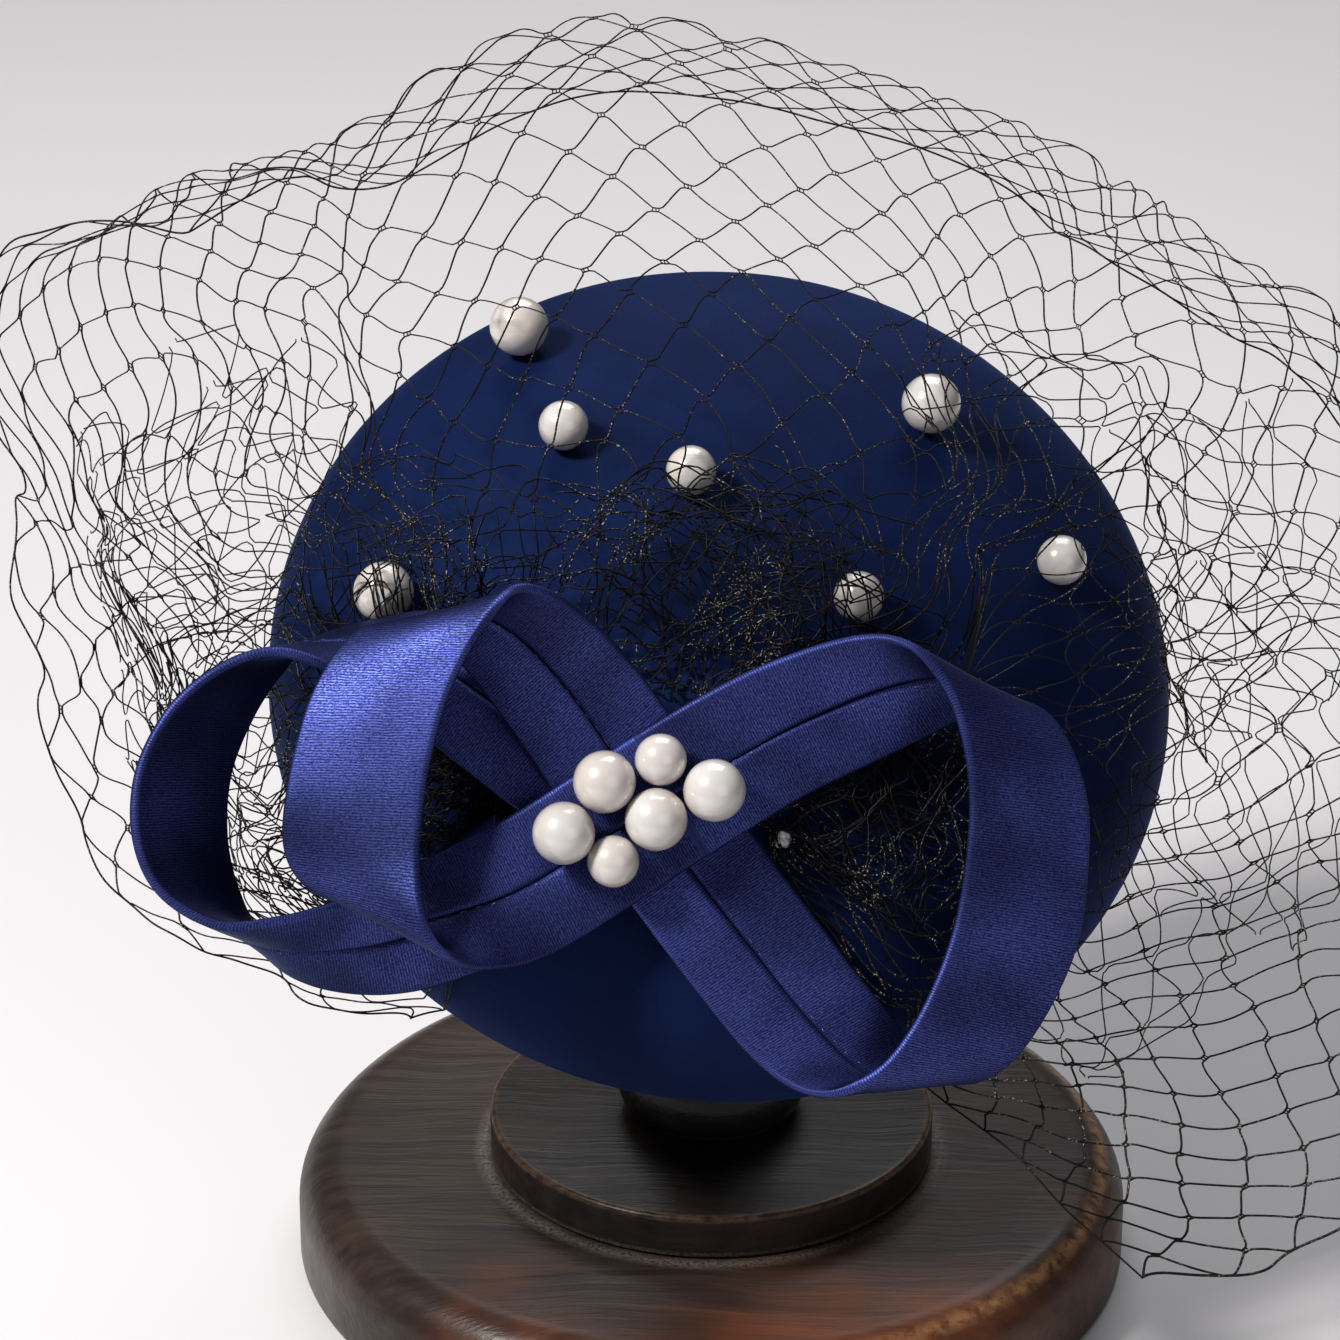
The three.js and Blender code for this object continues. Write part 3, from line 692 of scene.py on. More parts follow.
# a ball as rings of latitude; the turned profile is a half circle
def pearlBall(name, node):
    centre, radius = ballOf(node)
    profile = arc((0, 0), radius, -90, 90, pearlSize["rings"])
    profile[0, 0] = profile[-1, 0] = 0
    points, faces = turned(profile, pearlSize["segments"])
    makePiece(name, node, points + centre, faces, pearlCoat)


for k in range(1, pearlSize["onHat"] + 1):
    pearlBall(f"hatPearl{k}", f"pearl_hat_{k}")
for k in range(1, pearlSize["inCluster"] + 1):
    pearlBall(f"clusterPearl{k}", f"pearl_cluster_{k}")

print("ribbons")
# x, y, z: middle of the strip in the bow's frame, millimetres; turn: heading across it; lean: how far that
# line rises, both in degrees
ribbonColumns = ("x", "y", "z", "turn", "lean")
bowRows = np.array([
    [0.5, 3.3, 9, -58, 0], [17, 13.7, 9, -60, -10], [30, 20, 8.8, -63, -20], [40, 24, 9, -58, -30],
    [48, 26.2, 10, -44, -40], [55, 25.6, 11.5, -24, -41], [61.5, 20, 12.5, -9, -35],
    [66, 8, 12.3, -6, -27], [67, -6, 11, -6, -23], [65, -23, 9.5, -9, -22], [57.5, -40.5, 8, -12, -29],
    [49, -49, 6.5, -3, -36], [39, -48.8, 5.5, 18, -30], [28, -39.5, 5.6, 31, -12], [14, -23, 5.9, 35, -5],
    [-2.7, -1.7, 6.1, 39, 0], [-12.9, 12.4, 7.5, 44, 8], [-21, 22.5, 10.5, 43, 20],
    [-30, 31.5, 14, 41, 35], [-38.6, 35.6, 17.5, 29, 44], [-47.5, 32.5, 19.5, 3, 32],
    [-54.5, 21.5, 20.3, 0, 20], [-58.5, 6, 20.5, 1, 16], [-59.5, -9, 20.5, -2, 20],
    [-56, -18.8, 20, -13, 36], [-49, -22.2, 18, -36, 44], [-39, -20, 14.2, -60, 30], [-25, -14, 9.8, -62, 4],
], dtype=float)
sideRows = np.array([
    [-7, -1, 3.4, 50, 0], [-20, 9, 3, 50, -4], [-34, 19, 1.4, 51, -13], [-48, 27.4, -1.2, 50, -32],
    [-62, 29, -3, 52, -66], [-72.6, 27.8, -3, 16, -79], [-79.5, 24, -1, 1, -66], [-86.5, 16, 1, -1, -55],
    [-91, 5, 2.5, 1, -51], [-91.5, -7, 3, 3, -51], [-88, -17.5, 2, 0, -58], [-80.5, -25, 0, -24, -72],
    [-71, -28, -2, -76, -64], [-61, -28, -4, -80, -48], [-50, -25.5, -4, -76, -34],
    [-39, -20.5, -3, -70, -24], [-26.5, -13.5, 0.6, -62, -6],
], dtype=float)
ribbonCut = {"width": 26.5 * mm, "halfThick": 1.0 * mm, "cloth": 0.42 * mm, "seamGap": 0.10 * mm,
             "bowRings": 440, "sideRings": 260, "rimSteps": 13, "faceSteps": 29, "halfSteps": 13,
             "seamSteps": [0.0, 0.012, 0.03, 0.06, 0.1], "halfFrom": 0.16}
# crown: rise of the outer face; puff: of the inner halves; dip: of the seam between them; step: of one edge
# over the other. A wave is (wavelength, size); the pinch grows towards the rims
ribbonForm = {"crown": 0.32 * mm, "puff": 0.30 * mm, "puffPower": 0.8, "dip": 0.55 * mm, "dipWide": 0.55 * mm,
              "step": 0.10 * mm, "stepWide": 2 * mm, "seamWide": 5 * mm, "open": 0.04 * mm,
              "openWave": (13 * mm, 0.06 * mm), "wander": (23 * mm, 0.35 * mm),
              "wanderFine": (9.1 * mm, 0.2 * mm), "ripple": (24 * mm, 0.08 * mm),
              "rippleFine": (8 * mm, 0.012 * mm), "pinch": (34 * mm, 0.22 * mm), "rippleAcross": 2.2}


# a smooth line through the rows: each span is a cubic whose slopes are half the step between neighbours
def lineThrough(rows, closed, count):
    n = len(rows)
    t = np.linspace(0, n if closed else n - 1, count, endpoint=not closed)
    k = np.minimum(np.floor(t).astype(int), n - 1 if closed else n - 2)
    f = (t - k)[:, None]
    if closed:
        p = [rows[(k + o) % n] for o in (-1, 0, 1, 2)]
    else:
        padded = np.vstack([2 * rows[:1] - rows[1:2], rows, 2 * rows[-1:] - rows[-2:-1]])
        p = [padded[k + o] for o in (0, 1, 2, 3)]
    slopeA, slopeB = (p[2] - p[0]) / 2, (p[3] - p[1]) / 2
    return ((2 * f ** 3 - 3 * f ** 2 + 1) * p[1] + (f ** 3 - 2 * f ** 2 + f) * slopeA
            + (3 * f ** 2 - 2 * f ** 3) * p[2] + (f ** 3 - f ** 2) * slopeB)


# a strip's middle line, the directions across and out of it, and how far it has travelled at each ring
def stripLines(rows, closed, rings):
    middle = lineThrough(rows[:, :3] * mm, closed, rings)
    turn, lean = (np.radians(rows[:, ribbonColumns.index(name)]) for name in ("turn", "lean"))
    across = np.stack([np.cos(lean) * np.cos(turn), np.cos(lean) * np.sin(turn), np.sin(lean)], axis=-1)
    across = unit(lineThrough(across, closed, rings))
    if closed:
        along = unit(np.roll(middle, -1, axis=0) - np.roll(middle, 1, axis=0))
        length = np.linalg.norm(np.roll(middle, -1, axis=0) - middle, axis=1)
    else:
        along = unit(np.gradient(middle, axis=0))
        length = np.append(np.linalg.norm(np.diff(middle, axis=0), axis=1), 0)
    return {"middle": middle, "across": across, "out": unit(np.cross(along, across)),
            "travelled": np.concatenate([[0], np.cumsum(length)[:-1]]), "total": float(length.sum())}


# one layer of the folded strip's section, across u and out v: along the inner face from the seam, round a
# rim, across the outer face, round the other rim and back to the seam
def sectionPath(half, thick):
    flatEnd = half - thick
    shares = np.concatenate([ribbonCut["seamSteps"],
                             np.linspace(ribbonCut["halfFrom"], 1, ribbonCut["halfSteps"])])
    inward = ribbonCut["seamGap"] + (flatEnd - ribbonCut["seamGap"]) * shares
    a = np.radians(np.linspace(-90, 90, ribbonCut["rimSteps"]))[1:-1]
    rimU, rimV = flatEnd + thick * np.cos(a), thick * np.sin(a)
    across = np.linspace(-flatEnd, flatEnd, ribbonCut["faceSteps"])
    u = np.concatenate([-inward, -rimU, across, rimU[::-1], inward[::-1]])
    v = np.concatenate([-thick + 0 * inward, rimV, thick + 0 * across, rimV[::-1], -thick + 0 * inward])
    return u, v


# the whole section: that path, then the same path back, one cloth thickness further in
def foldedSection():
    half, thick, cloth = ribbonCut["width"] / 2, ribbonCut["halfThick"], ribbonCut["cloth"]
    u, v = sectionPath(half, thick)
    innerU, innerV = sectionPath(half - cloth, thick - cloth)
    return np.concatenate([u, innerU[::-1]]), np.concatenate([v, innerV[::-1]]), len(u)


# the inner face has v below 0: inside is 1 there and 0 on the outer face
def raisedSection(u, v, inside):
    form, half = ribbonForm, ribbonCut["width"] / 2
    crown = form["crown"] * np.cos(np.clip(u / half, -1, 1) * np.pi / 2) * (1 - inside)
    puff = form["puff"] * np.sin(np.clip(np.abs(u) / half, 0, 1) * np.pi) ** form["puffPower"] * inside
    dip = form["dip"] * np.exp(-(u / form["dipWide"]) ** 2) * inside
    step = form["step"] * np.sign(u) * np.exp(-(u / form["stepWide"]) ** 2) * inside
    return v + crown - puff + dip + step


def sineAlong(travelled, wave, phase=0.0):
    return wave[1] * np.sin(travelled / wave[0] + phase)


# one folded strip: the section carried along its line. The seam wanders a little and opens and closes, and
# the puffed halves ripple along the strip
def foldedStrip(name, rows, closed, rings, node, seed):
    form, width = ribbonForm, ribbonCut["width"]
    strip = stripLines(rows, closed, rings)
    travelled, total = strip["travelled"][:, None], strip["total"]
    u, v, layer = foldedSection()
    inside = smooth(-v / ribbonCut["halfThick"] * 2)
    v = raisedSection(u, v, inside)
    wander = sineAlong(travelled, form["wander"], seed) + sineAlong(travelled, form["wanderFine"])
    opened = form["open"] + sineAlong(travelled, form["openWave"], 2 * seed)
    nearSeam = np.exp(-(u / form["seamWide"]) ** 2) * inside
    uAll = u + nearSeam * (wander + np.sign(u) * opened)
    spot = np.stack([travelled + 0 * u, form["rippleAcross"] * u + 0 * travelled, v + 0 * travelled], axis=-1)
    if closed:  # the ripple meets itself where the strip closes
        phase = 2 * np.pi * travelled / total
        spot[..., 0] = np.cos(phase) * total / (2 * np.pi)
        spot[..., 2] += np.sin(phase) * total / (2 * np.pi)
    ripple, fine, pinch = (drift(spot, form[key][0], seed + k) * form[key][1]
                           for k, key in enumerate(("ripple", "rippleFine", "pinch")))
    vAll = v + (ripple + fine) + pinch * (np.abs(u) / (width / 2)) ** 2
    middle, across, out = (strip[key][:, None, :] for key in ("middle", "across", "out"))
    points = middle + across * uAll[..., None] + out * vAll[..., None]
    count = len(u)
    faces = gridFaces(rings, count, wrapRows=closed, wrapColumns=True)[:, ::-1].tolist()
    if not closed:
        k = np.arange(layer - 1)
        first = np.stack([k, k + 1, count - 2 - k, count - 1 - k], axis=-1)
        faces += first.tolist() + (first[:, ::-1] + (rings - 1) * count).tolist()
    flat = np.concatenate([np.linspace(0, 2 * width, layer), np.linspace(2 * width, 0, layer)])
    uv = np.stack([flat + 0 * travelled, travelled + 0 * flat], axis=-1)
    piece = makePiece(name, node, fromHat(bowToHat(points.reshape(-1, 3))), faces, ribbonSatin,
                      uv.reshape(-1, 2))
    return strip


bowStrip = foldedStrip("bowRibbon", bowRows, True, ribbonCut["bowRings"], "bow_ribbon", 21)
sideStrip = foldedStrip("sideLoop", sideRows, False, ribbonCut["sideRings"], "side_loop", 31)

# stitches: short light threads along the seam of each strip, each a low arch over the inner face
stitch = {"every": 3.1 * mm, "long": 0.9 * mm, "radius": 0.07 * mm, "arch": 0.06 * mm, "beside": 0.6 * mm,
          "besideNext": 0.7, "lift": 0.16 * mm, "margin": 3 * mm, "steps": 5, "sides": 4}


def seamStitches(name, strip, node):
    travelled = strip["travelled"]
    starts = np.arange(stitch["margin"], travelled[-1] - stitch["margin"], stitch["every"])
    f = np.linspace(0, 1, stitch["steps"])
    at = starts[:, None] + f * stitch["long"]
    middle, across, out = (np.stack([np.interp(at, travelled, strip[key][:, c]) for c in range(3)], axis=-1)
                           for key in ("middle", "across", "out"))
    byTurns = np.where(np.arange(len(starts)) % 2 == 0, 1, stitch["besideNext"])[:, None]
    aside = stitch["beside"] * byTurns + 0 * at
    raised = -(ribbonCut["halfThick"] + stitch["lift"] + stitch["arch"] * np.sin(np.pi * f)) + 0 * at
    spots = middle + across * aside[..., None] + out * raised[..., None]
    points, faces = tubes(spots, stitch["radius"], stitch["sides"])
    makePiece(name, node, fromHat(bowToHat(points)), faces, stitchThread)


seamStitches("bowStitches", bowStrip, "bow_ribbon")
seamStitches("sideStitches", sideStrip, "side_loop")

print("veil")
# the fan, in the hat's frame, millimetres and degrees: each row is one direction from the gather. crease:
# where the net folds back; edge: its height there; fold: how far it turns; rise and lift: where it leaves
# the satin and by how much; ruffle: height of its waves
fanColumns = ("angle", "crease", "edge", "fold", "rise", "lift", "ruffle")
fanRows = np.array([
    [-46, 98, 8, 0, 30, 3, 0], [-38, 112, 8, 0, 30, 4, 0], [-28, 124, 11, 10, 30, 5, 2],
    [-18, 134, 15, 30, 35, 6, 4], [-5, 146, 20, 90, 45, 8, 6], [10, 159, 25, 140, 45, 11, 8],
    [28, 168, 28, 150, 35, 14, 8], [48, 160, 32, 150, 8, 15, 6], [70, 158, 35, 150, 12, 15, 3],
    [97, 168, 36, 150, 15, 15, 1], [120, 155, 36, 150, 20, 15, 5], [136, 159, 35, 130, 30, 16, 7],
    [147, 160, 30, 60, 40, 16, 8], [156, 126, 18, 0, 70, 11, 8], [168, 102, 9, 0, 50, 7, 6],
    [181, 88, 6, 0, 40, 4, 3], [204, 60, 5, 0, 40, 3, 0], [216, 42, 4, 0, 40, 2, 0],
], dtype=float)
gather = {"x": -8, "y": -38, "lift": 1.2}
# climb: distance taken to reach the lift; sag: how far below its edge height the free part starts, at
# sagFrom, and sagSpan: the distance over which it straightens; blend: softness where it leaves the dome
drape = {"climb": 32, "sag": 60, "sagFrom": 20, "sagSpan": 80, "blend": 9, "waveFrom": 50, "waveSpan": 60,
         "waves": 11.6, "curl": 9, "leastFold": 0.5}
# how the strip's columns lie round the fan: angle against share of the strip, at five distances out
stations = {"reach": np.array([8.0, 40.0, 70.0, 100.0, 140.0]),
            "share": [0, 0.128, 0.266, 0.478, 0.616, 0.856, 1.0],
            "angles": [[-46, -28, 6, 44, 146, 182, 216], [-46, -24, 12, 44, 142, 176, 216],
                       [-46, -18, 18, 50, 138, 170, 216], [-46, -16, 20, 67, 125, 167, 216],
                       [-46, -15, 20, 74, 118, 165, 216]]}
# how the rows lie across the fan: above 1 they crowd towards the border, below 1 towards the gather
tight = {"angle": [-46, -18, 12, 150, 175, 216], "share": [0.8, 0.92, 1.42, 1.42, 0.9, 0.7]}
# where the strip is bunched into pleats, as shares along it
bunched = {"at": [0, 0.13, 0.28, 0.4, 0.46, 0.6, 0.66, 0.865, 1.0],
           "share": [0.0, 0.35, 1.0, 0.95, 0.05, 0.05, 0.95, 1.0, 0.0], "from": 14, "span": 40}
veil = {"columns": 98, "rows": 25, "samples": 12, "seed": 5, "radius": 0.19, "sides": 4, "root": 8,
        "linkThick": 0.08, "endThick": 0.35, "endShare": 0.16, "firstGuess": 60.0, "rounds": 3}
# the turned-back border: wider where it folds right over, notched at one angle, and wavy along the strip
flap = {"width": 26, "wider": 7, "fullFold": 90, "notchAngle": 149, "notchWide": 8, "notch": 0.5,
        "wave": 0.12, "waves": 37}
# pleats: the swing is in degrees and the height in millimetres; their waves wander and their size grows and
# shrinks both along the strip (waves of a share) and outwards (wavelengths in millimetres)
pleat = {"swing": 3.2, "columns": 11.7, "height": 6.0, "riseFrom": 46, "riseSpan": 60, "fade": 0.5,
         "wander": 1.5, "wanderWaves": 31, "drift": 1.6, "driftWaves": 23, "driftOut": 29,
         "size": 0.65, "sizeSwing": 0.35, "sizeWaves": 47, "sizeOut": 26}


def fanSections(angle):
    k = np.clip(np.searchsorted(fanRows[:, 0], angle) - 1, 0, len(fanRows) - 2)
    t = smooth((angle - fanRows[k, 0]) / (fanRows[k + 1, 0] - fanRows[k, 0]))
    return {name: fanRows[k, c] + (fanRows[k + 1, c] - fanRows[k, c]) * t
            for c, name in enumerate(fanColumns)}


def domeOver(x, y, side, top):
    return domeHeight(np.hypot(x, y) * mm, hat["radius"] + side * mm, hat["height"] + top * mm) / mm


# a point of the net's surface, in the hat's frame and millimetres: near the gather it follows the dome,
# farther out it stands free, and past the crease it curls over and runs back
def netSurface(angle, d):
    s = fanSections(angle)
    curl, fold = drape["curl"], np.radians(np.maximum(s["fold"], drape["leastFold"]))
    curlStart = s["crease"] - curl / 2
    past = np.maximum(d - curlStart, 0)
    bent = np.minimum(past, curl) / curl * fold
    after = np.maximum(past - curl, 0)
    r = np.minimum(d, curlStart) + curl / fold * np.sin(bent) + after * np.cos(fold)
    rise = curl / fold * (1 - np.cos(bent)) + after * np.sin(fold)
    a = np.radians(angle)
    x, y = gather["x"] + r * np.cos(a), gather["y"] + r * np.sin(a)
    lift = gather["lift"] + (s["lift"] - gather["lift"]) * smooth((d - s["rise"]) / drape["climb"])
    over = domeOver(x, y, lift, lift)
    free = s["edge"] - drape["sag"] * (1 - smooth((d - drape["sagFrom"]) / drape["sagSpan"]))
    blended = (over + free + np.hypot(over - free, drape["blend"])) / 2
    growth = smooth((d - drape["waveFrom"]) / drape["waveSpan"])
    wave = s["ruffle"] * growth * (0.5 + 0.5 * np.sin(a * drape["waves"]))
    return np.stack([x, y, blended + wave + rise], axis=-1)


# angle of a share of the strip at a distance from the gather, eased from one station to the next
def stationAngle(column, d):
    reach = stations["reach"]
    d = np.broadcast_to(np.clip(d, reach[0], reach[-1]), np.shape(column))
    k = np.clip(np.searchsorted(reach, d) - 1, 0, len(reach) - 2)
    t = smooth((d - reach[k]) / (reach[k + 1] - reach[k]))
    each = np.stack([np.interp(column, stations["share"], angles) for angles in stations["angles"]])
    here, beyond = (np.take_along_axis(each, row[None], axis=0)[0] for row in (k, k + 1))
    return here + (beyond - here) * t


# strip coordinates to a place: column is a share of the strip along its length, row a share across it. The
# distance depends on the angle and the angle on the distance, so both are worked out a few times
def netPlace(column, row):
    d = veil["firstGuess"]
    for _ in range(veil["rounds"]):
        angle = stationAngle(column, d)
        s = fanSections(angle)
        notch = 1 - flap["notch"] * np.exp(-((angle - flap["notchAngle"]) / flap["notchWide"]) ** 2)
        border = (flap["width"] + flap["wider"] * smooth(s["fold"] / flap["fullFold"])) * notch
        reach = s["crease"] + border * (1 + flap["wave"] * np.sin(column * flap["waves"])) - veil["root"]
        crowd = np.interp(angle, tight["angle"], tight["share"])
        d = veil["root"] + reach * (crowd * row - (crowd - 1) * row ** 2)
    bunch = np.interp(column, bunched["at"], bunched["share"])
    bunch = bunch * smooth((d - bunched["from"]) / bunched["span"])
    phase = 2 * np.pi * column * veil["columns"] / pleat["columns"]
    phase = phase + pleat["wander"] * np.sin(column * pleat["wanderWaves"])
    phase = phase + pleat["drift"] * np.sin(d / pleat["driftOut"] + column * pleat["driftWaves"])
    size = pleat["size"] + pleat["sizeSwing"] * np.sin(column * pleat["sizeWaves"] + d / pleat["sizeOut"])
    swing = pleat["swing"] * bunch * size * np.sin(phase) * (1 - pleat["fade"] * row)
    angle = np.clip(stationAngle(column, d) + swing, fanRows[0, 0], fanRows[-1, 0])
    place = netSurface(angle, d)
    risen = smooth((d - pleat["riseFrom"]) / pleat["riseSpan"])
    place[..., 2] += pleat["height"] * bunch * size * risen * (0.5 + 0.5 * np.cos(phase))
    return place, d, bunch


# crumple: slow shoves of the threads, larger where the net is bunched, and a kneaded belt near the gather.
# A wave is (wavelength, size); seeds are for x, y and z; after it all the net stays off the satin
crumpled = {"least": 0.3, "bunched": 1.5, "from": 16, "span": 30, "fade": 0.6, "fadeFrom": 115,
            "fadeSpan": 35, "waves": ((34, 2.4), (34, 2.4), (30, 1.4)), "seeds": (41, 42, 43),
            "fine": (14, 0.5), "fineSeeds": (44, 45, 46), "offSide": 1.4, "offTop": 1.2, "overRim": 1}
kneaded = {"waves": ((26, 3.2), (26, 3.2), (17, 1.2)), "seeds": (54, 55, 53), "raised": 1.0,
           "from": 12, "span": 10, "endFrom": 52, "endSpan": 26}


def waved(place, waves, seeds):
    return np.stack([drift(place, wave[0], seed) * wave[1] for wave, seed in zip(waves, seeds)], axis=-1)


def crumple(place, d, bunch):
    size = crumpled["least"] + crumpled["bunched"] * bunch
    size = size * smooth((d - crumpled["from"]) / crumpled["span"])
    size = size * (1 - crumpled["fade"] * smooth((d - crumpled["fadeFrom"]) / crumpled["fadeSpan"]))
    push = waved(place, crumpled["waves"], crumpled["seeds"])
    push += waved(place, [crumpled["fine"]] * 3, crumpled["fineSeeds"])
    near = smooth((d - kneaded["from"]) / kneaded["span"])
    near = near * (1 - smooth((d - kneaded["endFrom"]) / kneaded["endSpan"]))
    knead = waved(place, kneaded["waves"], kneaded["seeds"]) + [0, 0, kneaded["raised"]]
    moved = place + push * size[..., None] + knead * near[..., None]
    x, y, z = np.moveaxis(moved, -1, 0)
    onDome = np.hypot(x, y) < hat["radius"] / mm + crumpled["overRim"]
    satin = domeOver(x, y, crumpled["offSide"], crumpled["offTop"])
    moved[..., 2] = np.where(onDome, np.maximum(z, satin), z)
    return moved


# the net passes round what it meets, in the hat's frame and millimetres: a point inside a pearl moves out
# and up to its skin, and a point inside a ribbon moves to that ribbon's nearer face
clearance = {"pearl": 0.4, "climb": 3.0, "ribbon": 1.85, "rim": 0.3, "along": 2.0}
pearlSpots = [ballOf(f"pearl_hat_{k}") for k in range(1, pearlSize["onHat"] + 1)]


def offPearls(place):
    for middle, radius in pearlSpots:
        centre = (middle - np.array(hat["origin"])) @ hatTurn / mm
        reach = radius / mm + clearance["pearl"]
        away = place - centre
        far = np.linalg.norm(away, axis=-1, keepdims=True)
        upward = clearance["climb"] * np.clip(1 - far / reach, 0, 1) * np.array([0, 0, 1.0])
        place = np.where(far < reach, centre + unit(away + upward) * reach, place)
    return place


# u across and v out of the ribbon are measured from the nearest of every second ring of its middle line
def offRibbon(place, strip):
    middle = bowToHat(strip["middle"])[::2] / mm
    across, out = strip["across"][::2] @ bowTurn.T, strip["out"][::2] @ bowTurn.T
    half = ribbonCut["width"] / mm / 2
    spots = place.reshape(-1, 3).copy()
    boxed = np.all((spots > middle.min(axis=0) - half) & (spots < middle.max(axis=0) + half), axis=-1)
    near = spots[boxed]
    ring = np.argmin(((near[:, None, :] - middle[None]) ** 2).sum(axis=-1), axis=1)
    away = near - middle[ring]
    u, v = ((away * direction[ring]).sum(axis=-1) for direction in (across, out))
    along = np.linalg.norm(away - across[ring] * u[:, None] - out[ring] * v[:, None], axis=-1)
    inside = (np.abs(u) < half + clearance["rim"]) & (np.abs(v) < clearance["ribbon"])
    inside &= along < clearance["along"]
    shove = (np.where(v > 0, 1, -1) * clearance["ribbon"] - v) * inside
    spots[boxed] = near + out[ring] * shove[:, None]
    return spots.reshape(place.shape)


def passRound(place):
    return offPearls(offRibbon(offRibbon(place, bowStrip), sideStrip))


def netPiece(name, lines, radius, sides, thread=netThread):
    points, faces = tubes(lines, radius, sides)
    makePiece(name, "veil_net", fromHat(points * mm), faces, thread)


# threads of a diamond net in units of columns and rows. Each thread swings between two neighbouring rows:
# it runs level beside the next thread for a short link, then crosses over, a little bowed and uneven
netMesh = {"linkGap": 0.13, "sharp": 1.3, "rounding": 0.06, "linkFrom": 0.72, "linkSpan": 0.2, "bow": 0.05,
           "slide": 0.06}


def lattice(columns, rows, samples, seed):
    r = np.random.default_rng(seed)
    t = np.linspace(0, columns, columns * samples + 1)
    j = np.arange(rows)[:, None]
    cell = np.minimum(np.floor(t).astype(int), columns - 1)
    f = t - cell
    zigzag = np.where((cell[None] + j) % 2 == 1, 2 * f - 1, 1 - 2 * f)
    swing = np.clip(netMesh["sharp"] * zigzag, -1, 1)
    swing = swing * (1 + netMesh["rounding"] - netMesh["rounding"] * np.abs(swing))
    atLink = smooth((np.abs(zigzag) - netMesh["linkFrom"]) / netMesh["linkSpan"])
    bowed = r.normal(size=(rows, columns + 1))[:, cell] * netMesh["bow"] * np.sin(np.pi * f) * (1 - atLink)
    shift = r.normal(size=(rows, columns + 1)) * netMesh["slide"]
    slide = (shift[:, cell] * (1 - f) + shift[:, cell + 1] * f) * (1 - atLink)
    return t[None] + slide, j + 0.5 + 0.5 * swing * (1 - netMesh["linkGap"]) + bowed, atLink


# the net's threads as lines in the hat's frame, from shares of the strip
def draped(column, row):
    return passRound(crumple(*netPlace(np.clip(column, 0, 1), np.clip(row, 0, 1))))


column, row, atLink = lattice(veil["columns"], veil["rows"], veil["samples"], veil["seed"])
lines = draped(column / veil["columns"], row / veil["rows"])
# the threads towards the lower right end are the thicker ones
lowEnd = 1 - smooth(np.linspace(0, 1, lines.shape[1])[None] / veil["endShare"])
thick = veil["radius"] * (1 + veil["linkThick"] * atLink + veil["endThick"] * lowEnd)
# bands of the net from near the gather to the border; the rows before the first are left out, hidden there
bands = {"veilInner": (3, 7), "veilMiddle": (7, 13), "veilOuter": (13, 19), "veilBorder": (19, veil["rows"])}
for name, (first, last) in bands.items():
    netPiece(name, lines[first:last], thick[first:last], veil["sides"])

# rungs of the small ladders that tie two neighbouring threads at every crossing
rung = {"longest": 2.6, "radius": 0.15, "sides": 3}
starts, ends = [], []
for j in range(bands["veilInner"][0], veil["rows"] - 1):
    at = np.arange(1, veil["columns"])
    at = at[(at + j) % 2 == 0] * veil["samples"]
    for step in (-1, 0, 1):
        starts.append(lines[j, at + step])
        ends.append(lines[j + 1, at + step])
starts, ends = np.vstack(starts), np.vstack(ends)
short = np.linalg.norm(ends - starts, axis=1) < rung["longest"]
starts, ends = starts[short], ends[short]
netPiece("veilRungs", np.stack([starts, (starts + ends) / 2, ends], axis=1), rung["radius"], rung["sides"])

# selvage: a thicker thread along the free border and down both ends of the strip
selvage = {"steps": 6, "row": 0.998, "radius": 0.21, "thicker": 0.08, "thickShare": 0.2, "sides": 5}
t = np.linspace(0, 1, veil["columns"] * selvage["steps"])
selvages = np.stack([draped(t, np.full_like(t, selvage["row"])), draped(0 * t, t), draped(0 * t + 1, t)])
selvageRadius = selvage["radius"] + selvage["thicker"] * (1 - smooth(t / selvage["thickShare"]))
netPiece("veilSelvage", selvages, selvageRadius, selvage["sides"])

# crumpled layers: where the strip lies in many folds, small stretches of the same net are kneaded in. Each
# row is a patch of the fan: how many, between which angles and distances, how high over the net, of how many
# columns and rows of cells, and how far kneaded
layerColumns = ("count", "fromAngle", "toAngle", "fromReach", "toReach", "height", "columns", "rows", "knead")
layerRows = [(9, 34, 150, 30, 50, 3.4, 8, 5, 4.0), (7, -34, 26, 22, 44, 4.0, 7, 5, 3.4),
             (9, 150, 196, 34, 62, 3.0, 8, 6, 4.0), (6, 20, 150, 20, 34, 4.2, 7, 4, 4.4),
             (6, 146, 190, 74, 100, 5.0, 15, 9, 5.0), (3, -4, 36, 92, 120, 5.0, 15, 8, 4.5),
             (5, 176, 200, 42, 58, 4.0, 8, 5, 2.8)]
layerCut = {"cellWide": 6.9, "cellHigh": 5.7, "samples": 10, "slowWave": 32, "fineWave": 14, "fine": 0.7,
            "tilt": 0.5, "uprightPast": 140, "leastReach": 30, "firstAngle": -32, "lastAngle": 200,
            "angleKept": 0.25, "insideCrease": 4, "creaseKept": 0.3, "root": 12, "heightMean": 0.55,
            "heightSwing": 0.45, "heightWave": 22, "heightFrom": 14, "heightSpan": 16, "leastHeight": 0.2,
            "farPast": 60, "radius": 0.21, "farRadius": 0.17, "sides": 3, "seed": 8}


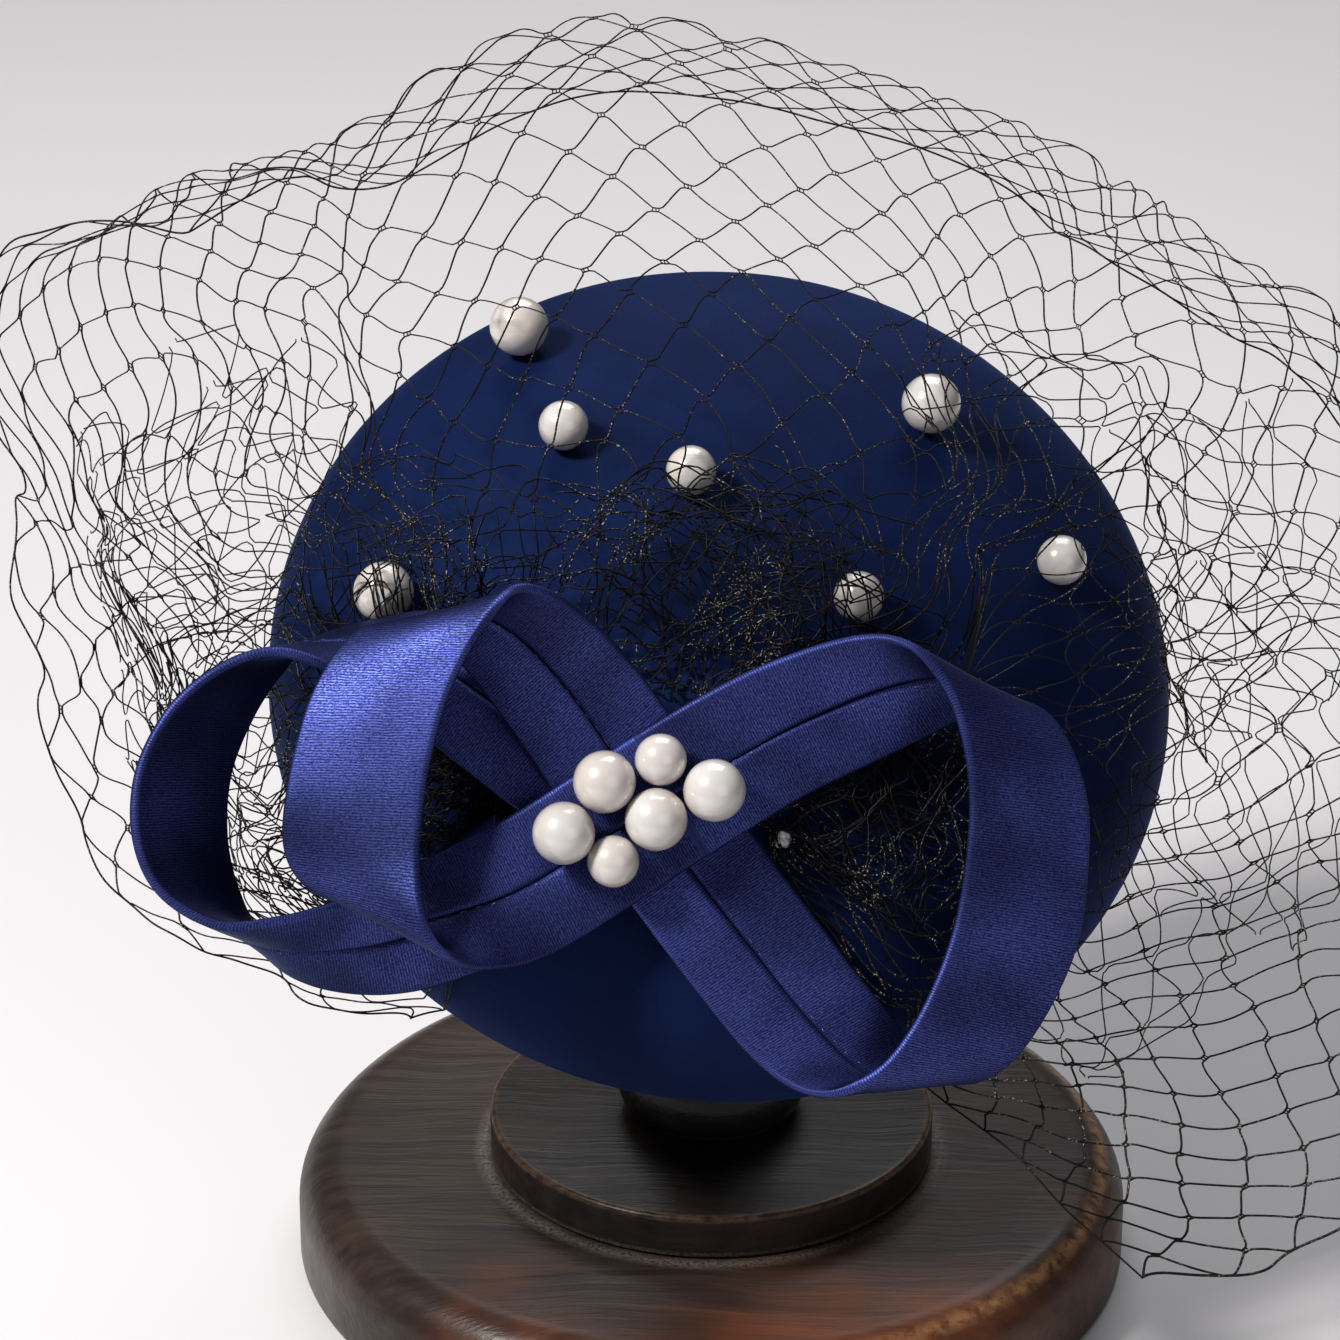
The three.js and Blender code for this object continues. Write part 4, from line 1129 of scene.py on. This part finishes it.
# a stretch is flat first, kneaded, then turned and laid round the fan. Beyond the fan's ends and its crease
# only a part of the excess is kept, and what falls short of the root is turned back
def layerLines(patch, r):
    cut, made = layerCut, []
    for seed in r.integers(1, 9999, patch["count"]):
        column, across, _ = lattice(patch["columns"], patch["rows"], cut["samples"], seed)
        u = (column - patch["columns"] / 2) * cut["cellWide"]
        v = (across - patch["rows"] / 2) * cut["cellHigh"]
        flat = np.stack([u, v, 0 * u], axis=-1)
        slow, fine = (cut["slowWave"], patch["knead"]), (cut["fineWave"], cut["fine"])
        moves = waved(flat, [slow, fine, slow, fine], [seed + 1, seed + 2, seed + 3, seed + 4])
        u, v = u + moves[..., 0] + moves[..., 1], v + moves[..., 2] + moves[..., 3]
        upright = np.pi / 2 if patch["fromAngle"] > cut["uprightPast"] else 0
        spin = r.uniform(-cut["tilt"], cut["tilt"]) + upright
        centre = r.uniform(patch["fromAngle"], patch["toAngle"])
        reach = r.uniform(patch["fromReach"], patch["toReach"])
        side = u * np.cos(spin) - v * np.sin(spin)
        d = reach + u * np.sin(spin) + v * np.cos(spin)
        angle = centre + np.degrees(side / max(reach, cut["leastReach"]))
        beyond = np.maximum(angle - cut["lastAngle"], 0) - np.maximum(cut["firstAngle"] - angle, 0)
        angle = angle - (1 - cut["angleKept"]) * beyond
        edge = fanSections(angle)["crease"] - cut["insideCrease"]
        d = np.where(d > edge, edge + cut["creaseKept"] * (d - edge), d)
        d = cut["root"] + np.abs(d - cut["root"])
        place = netSurface(angle, d)
        height = cut["heightMean"] + cut["heightSwing"] * drift(flat, cut["heightWave"], seed + 5)
        over = patch["height"] * height * smooth((d - cut["heightFrom"]) / cut["heightSpan"])
        place[..., 2] += np.maximum(over, cut["leastHeight"])
        made.append(passRound(place))
    return np.vstack(made)


layerRng = np.random.default_rng(layerCut["seed"])
for k, values in enumerate(layerRows, start=1):
    patch = dict(zip(layerColumns, values))
    far = patch["fromReach"] >= layerCut["farPast"]
    netPiece(f"veilLayer{k}", layerLines(patch, layerRng), layerCut["farRadius" if far else "radius"],
             layerCut["sides"], netThread if far else tangleThread)

# glue: a small clear bead where the net is stuck down beside the bow, a lumpy ball; its pale patches are a
# painted highlight
glue = {"at": (8.8, -51.4, 37.2), "radius": 1.5, "lumps": 0.35, "lumpWave": 1.9, "seed": 77, "rings": 13,
        "segments": 20, "clear": (0.22, 0.24, 0.30, 1), "paintedHighlight": (0.75, 0.76, 0.80, 1),
        "cloudNoise": (900.0, 2.0), "roughAt": (0.3, 0.7), "rough": (0.12, 0.3),
        "shader": {"Coat Weight": 1.0, "Coat Roughness": 0.05, "Specular IOR Level": 0.6}}
glueMaterial, glueTree, glueShader = newMaterial("clearGlue", glue["shader"])
glueCloud = noise(glueTree, spotOf(glueTree), *glue["cloudNoise"])
# painted highlight: noise mixes pale patches into the bead's clear colour
glueColour = mixColour(glueTree, glueCloud, glue["clear"], glue["paintedHighlight"])
glueTree.links.new(glueColour, glueShader.inputs["Base Color"])
glueRough = spread(glueTree, glueCloud, glue["roughAt"], glue["rough"])
glueTree.links.new(glueRough, glueShader.inputs["Roughness"])
ball = arc((0, 0), glue["radius"], -90, 90, glue["rings"])
ball[0, 0] = ball[-1, 0] = 0
points, faces = turned(ball, glue["segments"])
points = points * (1 + glue["lumps"] * drift(points, glue["lumpWave"], glue["seed"]))[:, None]
points = fromHat((points + np.array(glue["at"])) * mm)
makePiece("glueBead", "veil_net", points, faces, glueMaterial)

print("done")
